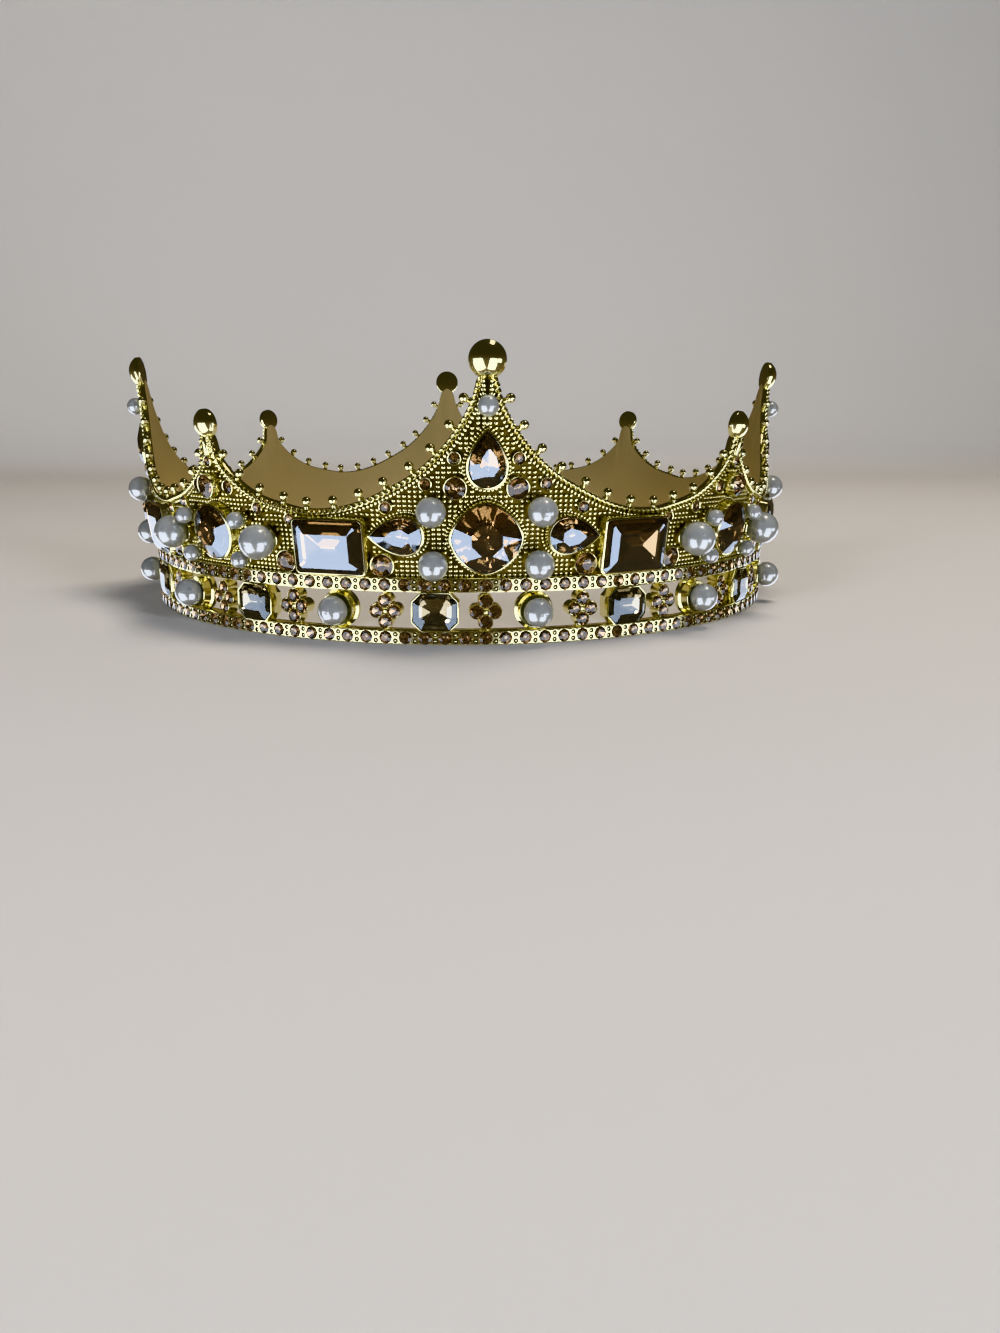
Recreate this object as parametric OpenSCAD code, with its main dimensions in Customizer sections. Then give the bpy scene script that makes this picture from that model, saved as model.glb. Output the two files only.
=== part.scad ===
// Costume crown: a flared cast band with four tall and four small peaks, standing on an
// open gallery between two straps, and set with cut stones and pearls. Millimetres, +Z up,
// the crown stands on z = 0 and its front peak faces -Y. Angles run from a tall peak.

/* [Rails and gallery] */
// Outer radius of the two straps
rail_radius = 77.8; // [76:0.1:80]
// Thickness of a strap, from its outer to its inner face
rail_depth = 3.4; // [3:0.1:3.8]
// Height of a strap
rail_height = 2.9; // [2.8:0.1:3.2]
// Height of the open gallery between the straps
gallery_gap = 7.8; // [7.5:0.1:8]
// How far the front of a quatrefoil stands inside the straps' outer face
quatrefoil_set_back = 0.1; // [0.05:0.05:0.4]
// How far the rim of an octagon cup stands out of the straps
octagon_stand = 0.4; // [0.2:0.1:1]
// How far the rim of a gallery pearl's cup stands out of the straps
pearl_cup_stand = 0.5; // [0.2:0.1:1]

/* [Band] */
// Outer radius of the band where it leaves the upper strap
band_radius = 76.1; // [75.9:0.1:76.3]
// Lean of the band away from upright, in degrees
flare = 8; // [7:0.5:9]
// Thickness of the band
band_wall = 1.3; // [1.2:0.1:1.5]
// Width of the rope along the scalloped edge
rope_width = 1.1; // [0.9:0.1:1.2]
// Height of the rope over the band
rope_rise = 0.5; // [0.3:0.1:0.7]
// Diameter of the grains along the edge
grain_d = 1.9; // [1.8:0.1:2.1]
// Distance of a grain's middle from the edge
grain_stand = 1.5; // [1.3:0.1:1.6]

/* [Finials] */
// Diameter of the button on a tall peak
tall_button_d = 7.2; // [7:0.1:7.8]
// Height of the middle of that button
tall_button_z = 55.3; // [55:0.1:55.6]
// Diameter of the button on a small peak
small_button_d = 6.0; // [5.6:0.1:6.4]
// Height of the middle of that button
small_button_z = 43.2; // [43:0.1:43.4]
// Rise of a button's dome over its rim
button_dome = 2.0; // [1.6:0.1:2.4]

/* [Stones] */
// Width of a centre cushion over its bezel, corner to corner
cushion_w = 14.8; // [14:0.1:15]
// Width of an upright pear over its bezel
pear_w = 8.2; // [7.8:0.1:8.4]
// Length of an upright pear over its bezel
pear_l = 11.8; // [11.4:0.1:12]
// Width of a sideways pear over its bezel
side_pear_w = 8.1; // [7.7:0.1:8.2]
// Length of a sideways pear over its bezel
side_pear_l = 11.4; // [11:0.1:11.5]
// Width of a rectangular stone over its bezel
rectangle_w = 15.8; // [15.4:0.1:15.9]
// Height of a rectangular stone over its bezel
rectangle_h = 11.7; // [11.2:0.1:11.8]
// Width of an oval stone over its bezel
oval_w = 12.6; // [11.8:0.1:13]
// Height of an oval stone over its bezel
oval_h = 12.1; // [11.6:0.1:12.3]
// Height of an oval's bezel over the band
oval_rise = 2.7; // [2.4:0.1:3]
// Width of a gallery octagon over its cup
octagon_w = 9.6; // [9:0.1:9.8]
// Thickness of the metal round a stone
bezel_wall = 0.5; // [0.4:0.05:0.6]
// Height of a large stone's bezel over the band
bezel_rise = 2.4; // [2:0.1:2.8]
// Clearance between a stone or pearl and its setting
seat_gap = 0.08; // [0.06:0.01:0.12]

/* [Pearls] */
// Diameter of the large pearls beside the small peaks
large_pearl_d = 7.2; // [6.8:0.1:7.6]
// Diameter of the pearls beside the centre stones and in the gallery
pearl_d = 6.0; // [5.8:0.1:6.2]
// Diameter of the pearls at the top of the tall peaks
top_pearl_d = 4.1; // [3.9:0.1:4.3]
// Diameter of the small pearls round the ovals
small_pearl_d = 3.6; // [3.4:0.1:3.8]

/* [Hidden] */
QUARTERS = [1:4];
HALVES = [1:8];
function names(stem, count) = [for (i = [1:count]) str(stem, "_", i)];

GOLD = "#c9a93a";
CHAMPAGNE = "#8d6f55";
SMOKE = "#4a3540";
PEARL = "#e8e6e1";

$fn = 48;
// Sides of a round rhinestone and of a curved stone's outline
ROUND_CUT = 8;
CURVED_CUT = 16;
// Columns of the gallery, one every GALLERY_STEP degrees
GALLERY_COUNT = 48;
GALLERY_STEP = 360 / GALLERY_COUNT;
// Height of the gallery's middle and of the upper strap's foot
gallery_z = rail_height + gallery_gap / 2;
upper_rail_z = rail_height + gallery_gap;
// Where the band meets the upper strap, and where its metal starts inside the strap
band_z = upper_rail_z + rail_height;
band_foot = band_z - 0.5;
// Depth to which a setting is sunk into the band
setting_root = 1.0;

// The scalloped edge between the middle of a tall peak and that of a small one: a row for
// each grain's seat, and one for the neck under each button. [angle, height]
EDGE = [
    [1.35, 51.8], [2.2, 47.7], [4.3, 42.5], [7.1, 37.9], [10.3, 34.2], [14.3, 31.1],
    [18.2, 28.7], [22.5, 27.1], [27.1, 26.7], [31.2, 27.6], [35.7, 29.1], [39.7, 32.1],
    [42.9, 36.3], [43.8, 40.6]];
// Height of the band's metal behind the two buttons
tall_top = tall_button_z - 1.8;
small_top = small_button_z - 1.4;
HALF_EDGE = concat([[0, tall_top]], EDGE, [[45, small_top]]);
LAST = len(HALF_EDGE) - 1;

// Round stones on each side of a tall peak. [angle, height, diameter over the bezel]
SMALL_SETS = [
    [4.5, 37.1, 2.8], [8.6, 32.2, 2.7], [14.45, 27.5, 2.8], [29.9, 24.6, 2.7],
    [35.7, 26.5, 2.8], [41.3, 30.4, 3.2]];
MEDIUM_SETS = [[4.4, 31.4, 4.7], [15.3, 15.95, 5.0], [31.1, 15.9, 4.8]];
// Round stones in the middle of a small peak
TINY_SET = [45, 35.6, 2.5];
PEAK_SET = [45, 30.5, 5.2];
// Pearls on each side of a tall peak. [angle, height]
BAND_PEARLS = [[7.7, 26.9], [7.6, 16.3]];
SMALL_PEARLS = [[38.7, 23.9], [39.0, 15.7]];
LARGE_PEARL = [34.4, 19.9];
TOP_PEARL = [0, 46.9];
// Places of the large stones. [angle, height]
CUSHION_AT = [0, 21.5];
PEAR_AT = [0, 36.9];
SIDE_PEAR_AT = [12.9, 21.9];
RECTANGLE_AT = [23.15, 19.4];
OVAL_AT = [45, 20.9];
// How far a pearl's middle stands over the band
large_pearl_stand = 4.2;
pearl_stand = 3.5;
top_pearl_stand = 2.4;
small_pearl_stand = 3.3;
// Bezel heights and stone heights over the band for the two round sizes
small_bezel_rise = 0.9;
medium_bezel_rise = 1.5;
peak_set_rise = 2.5;
// Share of a pearl's radius that its cup's mouth has
CUP_MOUTH = 0.64;
cup_wall = 0.5;

// Outer radius of the band at a height
function band_r(z) = band_radius + (z - band_z) * tan(flare);

// Points of a superellipse, which is round for power 2 and a diamond for power 1
function superellipse(w, h, power, n) = [for (i = [0:n - 1])
    let (t = 360 * i / n, c = cos(t), s = sin(t))
    [sign(c) * pow(abs(c), 2 / power) * w / 2, sign(s) * pow(abs(s), 2 / power) * h / 2]];
// Points of a drop with its point up: half its width is sin t times a power of sin t/2
DROP_POWER = 0.8;
DROP_WIDEST = DROP_POWER / (2 + DROP_POWER);
DROP_SCALE = sqrt(1 - DROP_WIDEST * DROP_WIDEST) * pow((1 + DROP_WIDEST) / 2, DROP_POWER / 2);
function drop(w, l, n) = [for (i = [0:n - 1])
    let (t = 360 * i / n)
    [-sin(t) * pow(sin(t / 2), DROP_POWER) / DROP_SCALE * w / 2, cos(t) * l / 2]];
// Points of a rectangle with cut corners
function cut_rectangle(w, h, corner) = [
    [w / 2, -h / 2 + corner], [w / 2, h / 2 - corner],
    [w / 2 - corner, h / 2], [-w / 2 + corner, h / 2],
    [-w / 2, h / 2 - corner], [-w / 2, -h / 2 + corner],
    [-w / 2 + corner, -h / 2], [w / 2 - corner, -h / 2]];

// Outlines, each at a distance inside the outer edge of its bezel
function cushion_line(inset) = superellipse(cushion_w - 2 * inset, cushion_w - 2 * inset, 1.65, 16);
function pear_line(inset) = drop(pear_w - 2 * inset, pear_l - 2.4 * inset, CURVED_CUT);
function side_pear_line(inset) = drop(side_pear_w - 2 * inset, side_pear_l - 2.4 * inset, CURVED_CUT);
function rectangle_line(inset) = cut_rectangle(rectangle_w - 2 * inset, rectangle_h - 2 * inset, 0.7);
function oval_line(inset) = superellipse(oval_w - 2 * inset, oval_h - 2 * inset, 2, 16);
octagon_h = gallery_gap + 0.2;
function octagon_line(inset) = cut_rectangle(octagon_w - 2 * inset, octagon_h - 2 * inset, 1.9 - 0.6 * inset);

// Puts children on the band, +Z out of it and +Y up it. What stands out by stand has its
// middle at the height given.
module on_band(place, stand = 0)
    let (z = place[1] + stand * sin(flare))
    rotate([0, 0, place[0]]) translate([0, -band_r(z), z]) rotate([90 + flare, 0, 0]) children();

// Puts children in the gallery at a column, +Z out and +Y up, with z = 0 on the straps' face
module in_gallery(column)
    rotate([0, 0, column * GALLERY_STEP]) translate([0, -rail_radius, gallery_z])
        rotate([90, 0, 0]) children();

// Turns children to one of the four tall peaks, or to one side of one of them
module quarter(i) rotate([0, 0, 90 * (i - 1)]) children();
module half(i) rotate([0, 0, 90 * floor((i - 1) / 2)]) mirror([(i - 1) % 2, 0, 0]) children();

// One strap: a flat ring with its foot at z = 0
module strap() rotate_extrude() translate([rail_radius - rail_depth, 0]) square([rail_depth, rail_height]);

// The edge all the way round, as [angle, height] of each column of the band
COLUMNS = [for (k = [0:7]) for (i = [0:LAST - 1])
    let (row = k % 2 == 0 ? HALF_EDGE[i] : [45 - HALF_EDGE[LAST - i][0], HALF_EDGE[LAST - i][1]])
    [45 * k + row[0], row[1]]];
COUNT = len(COLUMNS);

// Slope of the edge at a column, as a rise for each millimetre along the band
function slope(i) = let (
    a = COLUMNS[(i + COUNT - 1) % COUNT], b = COLUMNS[(i + 1) % COUNT],
    turn = (b[0] - a[0] + 360) % 360)
    (b[1] - a[1]) / (turn * PI / 180 * band_r(COLUMNS[i][1]));
// Height of the rope's lower side, which is square to the edge except in a steep neck
function rope_foot(i) = COLUMNS[i][1] - min(3.4, max(1.7, rope_width * sqrt(1 + pow(slope(i), 2))));

// The band: a leaning wall with a raised rope along its scalloped edge. Each column has six
// points, from the inner foot round the outside to the inner top.
module band() {
    section = [for (i = [0:COUNT - 1]) let (top = COLUMNS[i][1], low = rope_foot(i)) [
        [band_r(band_foot) - band_wall, band_foot], [band_r(band_foot), band_foot],
        [band_r(low), low], [band_r(low) + rope_rise, low],
        [band_r(top) + rope_rise, top], [band_r(top) - band_wall, top]]];
    points = [for (i = [0:COUNT - 1]) for (p = section[i])
        [p[0] * sin(COLUMNS[i][0]), -p[0] * cos(COLUMNS[i][0]), p[1]]];
    faces = [for (i = [0:COUNT - 1]) for (j = [0:5])
        let (a = 6 * i, b = 6 * ((i + 1) % COUNT), k = (j + 1) % 6)
        each [[a + j, a + k, b + k], [a + j, b + k, b + j]]];
    polyhedron(points, faces);
}

// Direction square to the edge at a row of EDGE, as [along, up]
function edge_normal(i) = let (
    a = HALF_EDGE[i], b = HALF_EDGE[i + 2],
    along = (b[0] - a[0]) * PI / 180 * band_r(EDGE[i][1]), up = b[1] - a[1], l = norm([along, up]))
    [-up / l, along / l];

// Depth of a stem inside the edge
stem_root = 0.75;

// One grain on its stem, standing square to the edge at a row of EDGE
module grain(i) {
    n = edge_normal(i);
    on_band(EDGE[i]) rotate([0, 0, -atan2(n[0], n[1])]) translate([0, 0, -0.35]) {
        translate([0, grain_stand, 0]) sphere(d = grain_d);
        translate([0, -stem_root, 0]) rotate([-90, 0, 0]) cylinder(d = 1.1, h = stem_root + grain_stand);
    }
}

// A button: a flat rim with a dome in front
module button(d) {
    dome_r = d / 2 - 0.4;
    ball_r = (dome_r * dome_r + button_dome * button_dome) / (2 * button_dome);
    translate([0, 0, 0.05 - band_wall]) cylinder(d = d, h = band_wall + 0.2);
    intersection() {
        translate([0, 0, 0.25 + button_dome - ball_r]) sphere(r = ball_r);
        cylinder(r = dome_r + 0.5, h = button_dome + 1);
    }
}

// A bezel: the wall between two outlines, sunk into the band and rising over it
module bezel(outer, inner, rise)
    translate([0, 0, -setting_root]) linear_extrude(setting_root + rise) difference() {
        polygon(outer);
        polygon(inner);
    }

// A round bezel or pearl cup
module collar(outer_r, inner_r, rise)
    translate([0, 0, -setting_root]) linear_extrude(setting_root + rise) difference() {
        circle(outer_r);
        circle(inner_r);
    }

// The cup under a pearl whose middle stands over the band: its mouth holds the pearl
function cup_rise(r, stand) = stand - sqrt(pow(r + seat_gap, 2) - pow(CUP_MOUTH * r, 2));
module pearl_cup(d, stand)
    collar(CUP_MOUTH * d / 2 + cup_wall, CUP_MOUTH * d / 2, cup_rise(d / 2, stand));

module round_bezel(d, rise) collar(d / 2, d / 2 - bezel_wall / 1.6, rise);

// Settings on the band for one side of a tall peak
module half_settings() {
    on_band(SIDE_PEAR_AT, bezel_rise) rotate([0, 0, -90])
        bezel(side_pear_line(0), side_pear_line(bezel_wall), bezel_rise);
    on_band(RECTANGLE_AT, bezel_rise) bezel(rectangle_line(0), rectangle_line(bezel_wall), bezel_rise);
    on_band(LARGE_PEARL, large_pearl_stand) pearl_cup(large_pearl_d, large_pearl_stand);
    for (p = BAND_PEARLS) on_band(p, pearl_stand) pearl_cup(pearl_d, pearl_stand);
    for (p = SMALL_PEARLS) on_band(p, small_pearl_stand) pearl_cup(small_pearl_d, small_pearl_stand);
    for (p = SMALL_SETS) on_band(p, small_bezel_rise) round_bezel(p[2], small_bezel_rise);
    for (p = MEDIUM_SETS) on_band(p, medium_bezel_rise) round_bezel(p[2], medium_bezel_rise);
}

// Settings in the middle of a tall and a small peak
module quarter_settings() {
    on_band(CUSHION_AT, bezel_rise) bezel(cushion_line(0), cushion_line(bezel_wall), bezel_rise);
    on_band(PEAR_AT, bezel_rise) bezel(pear_line(0), pear_line(bezel_wall), bezel_rise);
    on_band(OVAL_AT, oval_rise) bezel(oval_line(0), oval_line(bezel_wall), oval_rise);
    on_band(TOP_PEARL, top_pearl_stand) pearl_cup(top_pearl_d, top_pearl_stand);
    on_band(TINY_SET, small_bezel_rise) round_bezel(TINY_SET[2], small_bezel_rise);
    on_band(PEAK_SET, peak_set_rise) round_bezel(PEAK_SET[2], peak_set_rise);
    on_band([0, tall_button_z]) button(tall_button_d);
    on_band([45, small_button_z]) button(small_button_d);
}

// Depth of a gallery setting's back behind the straps' face
gallery_back = 2.9;

// A quatrefoil: four joined round plates on a bar that runs from strap to strap
module quatrefoil() {
    translate([0, 0, -gallery_back]) linear_extrude(gallery_back - quatrefoil_set_back) {
        for (side = [-1, 1]) {
            translate([1.8 * side, 0]) circle(1.5);
            translate([0, 2.1 * side]) circle(1.5);
        }
        square(2.4, center = true);
    }
    translate([-0.7, -octagon_h / 2, -gallery_back - 0.1]) cube([1.4, octagon_h, 1.3]);
}

// An octagon cup: a floor and a rim
module octagon_cup() {
    translate([0, 0, -gallery_back]) linear_extrude(0.9) polygon(octagon_line(0.05));
    translate([0, 0, -gallery_back + 0.4]) linear_extrude(gallery_back - 0.4 + octagon_stand) difference() {
        polygon(octagon_line(0));
        polygon(octagon_line(bezel_wall));
    }
}

// Radius of a gallery pearl's cup, and the place of its pearl's middle over the straps' face
cup_r = gallery_gap / 2 + 0.1;
cup_mouth_r = 3.4;
cup_floor_r = 1.3;
cup_depth = 1.1;
cup_pit = 0.5;
gallery_pearl_stand = let (
    run = cup_mouth_r - cup_floor_r, side = norm([run, cup_depth]),
    h = ((pearl_d / 2 + seat_gap) * side - cup_mouth_r * cup_depth) / run)
    pearl_cup_stand + h;

// A gallery pearl's cup: a round block with a conical dish in its face and a pit in the dish
module gallery_cup() rotate_extrude() polygon([
    [0, -gallery_back], [cup_r, -gallery_back], [cup_r, pearl_cup_stand],
    [cup_mouth_r, pearl_cup_stand], [cup_floor_r, pearl_cup_stand - cup_depth],
    [cup_floor_r, pearl_cup_stand - cup_depth - cup_pit],
    [0, pearl_cup_stand - cup_depth - cup_pit]]);

// The gallery: quatrefoils in the even columns, pearl cups and octagon cups in the others
module gallery() {
    for (c = [0:2:GALLERY_COUNT - 2]) in_gallery(c) quatrefoil();
    for (c = [1:4:GALLERY_COUNT - 3]) in_gallery(c) gallery_cup();
    for (c = [3:4:GALLERY_COUNT - 1]) in_gallery(c) octagon_cup();
}

// All the metal, cast and soldered into one piece
module crown_frame() color(GOLD) union() {
    strap();
    translate([0, 0, upper_rail_z]) strap();
    band();
    gallery();
    for (i = HALVES) half(i) for (g = [1:len(EDGE) - 2]) grain(g);
    for (i = HALVES) half(i) half_settings();
    for (i = QUARTERS) quarter(i) quarter_settings();
}

// A cut stone from its outline: a flat back, a widening pavilion, a girdle, and a crown that
// narrows to a table. z = 0 is the middle of the band's face.
module cut_stone(line, back, girdle, crown, table = 0.62, culet = 0.5, girdle_h = 0.3) {
    n = len(line);
    rings = [[culet, back], [1, girdle - girdle_h], [1, girdle], [table, girdle + crown]];
    points = [for (r = rings) for (p = line) [p[0] * r[0], p[1] * r[0], r[1]]];
    top = n * (len(rings) - 1);
    faces = concat(
        [[for (i = [0:n - 1]) i]],
        [for (k = [0:len(rings) - 2]) for (i = [0:n - 1])
            let (a = n * k + i, b = n * k + (i + 1) % n) each [[a, a + n, b + n], [a, b + n, b]]],
        [[for (i = [n - 1:-1:0]) top + i]]);
    polyhedron(points, faces);
}

// A round rhinestone without a girdle
module rhinestone(d, rise, crown) {
    r = d / 2 - bezel_wall / 1.6 - seat_gap;
    rings = [[0.55, 0.15], [1, rise - 0.1], [0.6, rise + crown]];
    points = [for (s = rings) for (i = [0:ROUND_CUT - 1])
        [s[0] * r * cos(360 * i / ROUND_CUT), s[0] * r * sin(360 * i / ROUND_CUT), s[1]]];
    n = ROUND_CUT;
    faces = concat(
        [[for (i = [0:n - 1]) i]],
        [for (k = [0, 1]) for (i = [0:n - 1])
            let (a = n * k + i, b = n * k + (i + 1) % n) each [[a, a + n, b + n], [a, b + n, b]]],
        [[for (i = [n - 1:-1:0]) 2 * n + i]]);
    polyhedron(points, faces);
}

stone_inset = bezel_wall + seat_gap;
stone_back = 0.2;
stone_crown = 1.1;

module centre_stone(i) color(CHAMPAGNE) quarter(i) on_band(CUSHION_AT, bezel_rise)
    cut_stone(cushion_line(stone_inset), stone_back, bezel_rise, stone_crown + 0.2, table = 0.5);
module peak_pear(i) color(CHAMPAGNE) quarter(i) on_band(PEAR_AT, bezel_rise)
    cut_stone(pear_line(stone_inset), stone_back, bezel_rise, stone_crown);
module side_pear(i) color(CHAMPAGNE) half(i) on_band(SIDE_PEAR_AT, bezel_rise) rotate([0, 0, -90])
    cut_stone(side_pear_line(stone_inset), stone_back, bezel_rise, stone_crown);
module rectangle_stone(i) color(CHAMPAGNE) half(i) on_band(RECTANGLE_AT, bezel_rise)
    cut_stone(rectangle_line(stone_inset), stone_back, bezel_rise, stone_crown, table = 0.7);
module oval_stone(i) color(CHAMPAGNE) quarter(i) on_band(OVAL_AT, oval_rise)
    cut_stone(oval_line(stone_inset), stone_back, oval_rise, stone_crown + 0.2, table = 0.55);
module large_pearl(i) color(PEARL) half(i) on_band(LARGE_PEARL, large_pearl_stand)
    translate([0, 0, large_pearl_stand]) sphere(d = large_pearl_d);

module band_pearls() color(PEARL) for (i = HALVES) half(i) for (p = BAND_PEARLS)
    on_band(p, pearl_stand) translate([0, 0, pearl_stand]) sphere(d = pearl_d);
module small_pearls() color(PEARL) for (i = HALVES) half(i) for (p = SMALL_PEARLS)
    on_band(p, small_pearl_stand) translate([0, 0, small_pearl_stand]) sphere(d = small_pearl_d);
module top_pearls() color(PEARL) for (i = QUARTERS) quarter(i) on_band(TOP_PEARL, top_pearl_stand)
    translate([0, 0, top_pearl_stand]) sphere(d = top_pearl_d);
module medium_rhinestones() color(SMOKE) {
    for (i = HALVES) half(i) for (p = MEDIUM_SETS)
        on_band(p, medium_bezel_rise) rhinestone(p[2], medium_bezel_rise, 0.6);
    for (i = QUARTERS) quarter(i)
        on_band(PEAK_SET, peak_set_rise) rhinestone(PEAK_SET[2], peak_set_rise, 0.7);
}
module small_rhinestones() color(SMOKE) {
    for (i = HALVES) half(i) for (p = SMALL_SETS)
        on_band(p, small_bezel_rise) rhinestone(p[2], small_bezel_rise, 0.35);
    for (i = QUARTERS) quarter(i)
        on_band(TINY_SET, small_bezel_rise) rhinestone(TINY_SET[2], small_bezel_rise, 0.35);
}
module gallery_pearls() color(PEARL) for (c = [1:4:GALLERY_COUNT - 3]) in_gallery(c)
    translate([0, 0, gallery_pearl_stand]) sphere(d = pearl_d);
module gallery_stones() color(CHAMPAGNE) for (c = [3:4:GALLERY_COUNT - 1]) in_gallery(c)
    cut_stone(octagon_line(stone_inset), 0.9 - gallery_back + seat_gap, octagon_stand, 0.8);

crown_frame();
for (i = QUARTERS) {
    centre_stone(i);
    peak_pear(i);
    oval_stone(i);
}
for (i = HALVES) {
    side_pear(i);
    rectangle_stone(i);
    large_pearl(i);
}
band_pearls();
small_pearls();
top_pearls();
medium_rhinestones();
small_rhinestones();
gallery_pearls();
gallery_stones();
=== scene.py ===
# Costume crown: a flared gilt band with four tall and four small peaks over an open gallery, set
# with cut glass and imitation pearls. Shapes are worked out in millimetres and put into the meshes
# in metres. +Z is up, the crown stands on z = 0 and its front peak faces -Y.

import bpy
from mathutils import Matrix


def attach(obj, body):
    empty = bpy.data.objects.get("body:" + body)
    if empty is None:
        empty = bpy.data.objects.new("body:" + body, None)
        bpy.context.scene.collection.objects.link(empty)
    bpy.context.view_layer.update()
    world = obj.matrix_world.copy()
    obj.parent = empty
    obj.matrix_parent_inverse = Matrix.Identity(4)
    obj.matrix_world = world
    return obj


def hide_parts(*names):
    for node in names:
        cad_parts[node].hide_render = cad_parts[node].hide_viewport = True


bl_info = {
    "name": "Costume Crown",
    "version": (1, 0, 0),
    "blender": (4, 5, 0),
    "location": "3D View > Sidebar > Crown",
    "description": "Builds a costume crown with its settings, stones, pearls and studio",
    "category": "Object",
}

from types import SimpleNamespace

import bpy
import numpy as np
from bpy.props import FloatProperty, FloatVectorProperty, IntProperty, PointerProperty
from bpy.types import Operator, Panel, PropertyGroup
from mathutils import Matrix

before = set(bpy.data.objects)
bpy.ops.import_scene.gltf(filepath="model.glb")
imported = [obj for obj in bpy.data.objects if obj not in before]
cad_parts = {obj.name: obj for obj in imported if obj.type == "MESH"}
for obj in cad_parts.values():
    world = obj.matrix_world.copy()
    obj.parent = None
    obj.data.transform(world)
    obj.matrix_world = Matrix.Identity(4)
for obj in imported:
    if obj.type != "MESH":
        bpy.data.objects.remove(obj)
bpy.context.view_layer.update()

# Metres in a millimetre
MM = 0.001


def linear(code):
    """A colour of the picture, such as #d9c24a, as the linear red, green and blue that light adds up in."""
    channels = np.array([int(code[i : i + 2], 16) for i in (1, 3, 5)]) / 255
    return tuple(
        np.where(channels <= 0.04045, channels / 12.92, ((channels + 0.055) / 1.055) ** 2.4)
    )


def length(name, description, millimetres):
    """A size of the crown, given in millimetres."""
    return FloatProperty(
        name=name, description=description, default=millimetres * MM, unit="LENGTH", precision=5
    )


def colour(name, description, code):
    """A colour of the crown, given as the picture's hex."""
    return FloatVectorProperty(
        name=name, description=description, default=linear(code), subtype="COLOR", min=0, max=1
    )


class CrownSizes(PropertyGroup):
    """Driving sizes of the crown"""

    rail_radius: length("Strap radius", "Outer radius of the two straps", 77.8)
    rail_depth: length("Strap depth", "From a strap's outer to its inner face", 3.4)
    rail_height: length("Strap height", "Height of a strap", 2.9)
    gallery_gap: length("Gallery height", "Height of the open gallery between the straps", 7.8)
    band_radius: length("Band radius", "Outer radius of the band at its foot", 76.1)
    band_wall: length("Band wall", "Thickness of the band", 1.3)
    bezel_wall: length("Bezel wall", "Thickness of the metal that shows round a large stone", 0.4)
    bezel_rise: length("Bezel height", "Height of a large stone's bezel over the band", 2.4)
    oval_rise: length("Oval's bezel height", "Height of an oval's bezel over the band", 2.7)
    grain_d: length("Grain", "Diameter of the grains along the edge", 1.9)
    grain_stand: length("Grain stand", "From the edge to a grain's middle", 1.5)
    tall_button_d: length("Tall button", "Diameter of the button on a tall peak", 7.2)
    small_button_d: length("Small button", "Diameter of the button on a small peak", 6.0)
    flare: FloatProperty(
        name="Flare",
        description="Lean of the band away from upright",
        default=np.radians(8),
        subtype="ANGLE",
    )
    strap_stones: IntProperty(
        name="Strap stones", description="Rhinestones in one strap", default=120, min=60, max=160
    )


class CrownColours(PropertyGroup):
    """Colours of the crown's finishes"""

    gilt: colour("Gilt", "Bright lemon gold of the plating", "#efe8b8")
    gilt_deep: colour("Deep gilt", "Warmer gold where the plating is thick", "#e8dd9e")
    # Painted shade: a dark gold that stands for the shade between the beads, on the band's face behind them
    # and in the straps' seats and pits.
    recess: colour("Recess", "Dark gold between the beads", "#4c401e")
    inside: colour("Inside", "Tan gold of the band's inner face", "#e4cd94")
    champagne: colour("Champagne glass", "Tint of the large stones", "#f5eee2")
    champagne_foil: colour("Champagne foil", "Foil behind the large stones", "#c9b595")
    clear: colour("Pale glass", "Tint of the gallery's octagons", "#f2ede0")
    clear_foil: colour("Pale foil", "Foil behind the gallery's octagons", "#9f9782")
    smoke: colour("Smoky glass", "Tint of the small rhinestones", "#d2c7b6")
    smoke_foil: colour("Smoky foil", "Foil behind the small rhinestones", "#b09c80")
    pearl: colour("Pearl", "Body of the imitation pearls", "#b3b5b1")
    floor: colour("Floor", "Matt card that the crown stands on", "#d3d0cb")


# The scalloped edge from the middle of a tall peak to that of a small one. A row for the top,
# for each grain's seat and for the necks. [angle, height]
EDGE = np.array([
    [0, 53.5], [1.35, 51.8], [2.2, 47.7], [4.3, 42.5], [7.1, 37.9], [10.3, 34.2], [14.3, 31.1],
    [18.2, 28.7], [22.5, 27.1], [27.1, 26.7], [31.2, 27.6], [35.7, 29.1], [39.7, 32.1],
    [42.9, 36.3], [43.8, 40.6], [45, 41.8],
])
# Round stones on one side of a tall peak. [angle, height, diameter over the bezel]
SMALL_SETS = np.array([
    [4.5, 37.1, 2.8], [8.6, 32.2, 2.7], [14.45, 27.5, 2.8], [29.9, 24.6, 2.7],
    [35.7, 26.5, 2.8], [41.3, 30.4, 3.2],
])
MEDIUM_SETS = np.array([[4.4, 31.4, 4.7], [15.3, 15.95, 5.0], [31.1, 15.9, 4.8]])
TINY_SET = np.array([[45, 35.6, 2.5]])
PEAK_SET = np.array([[45, 30.5, 5.2]])
# Round settings: places, the bezel's height, how far the stone's crown rises over it, and whether
# they stand on both sides of a tall peak
ROUND_SETTINGS = {
    "small": (SMALL_SETS, 0.9, 0.35, True),
    "medium": (MEDIUM_SETS, 1.5, 0.6, True),
    "tiny": (TINY_SET, 0.9, 0.35, False),
    "peak": (PEAK_SET, 2.5, 0.7, False),
}
# Pearls on one side of a tall peak. [angle, height, diameter, stand of the middle over the band]
PEARL_CUPS = np.array([
    [7.7, 26.9, 6.0, 3.5], [7.6, 16.3, 6.0, 3.5], [38.7, 23.9, 3.6, 3.3], [39.0, 15.7, 3.6, 3.3],
    [34.4, 19.9, 7.2, 4.2],
])
TOP_CUP = np.array([[0, 46.9, 4.1, 2.4]])
# Buttons. [angle, height]
TALL_BUTTON = (0, 55.3)
SMALL_BUTTON = (45, 43.2)
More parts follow.
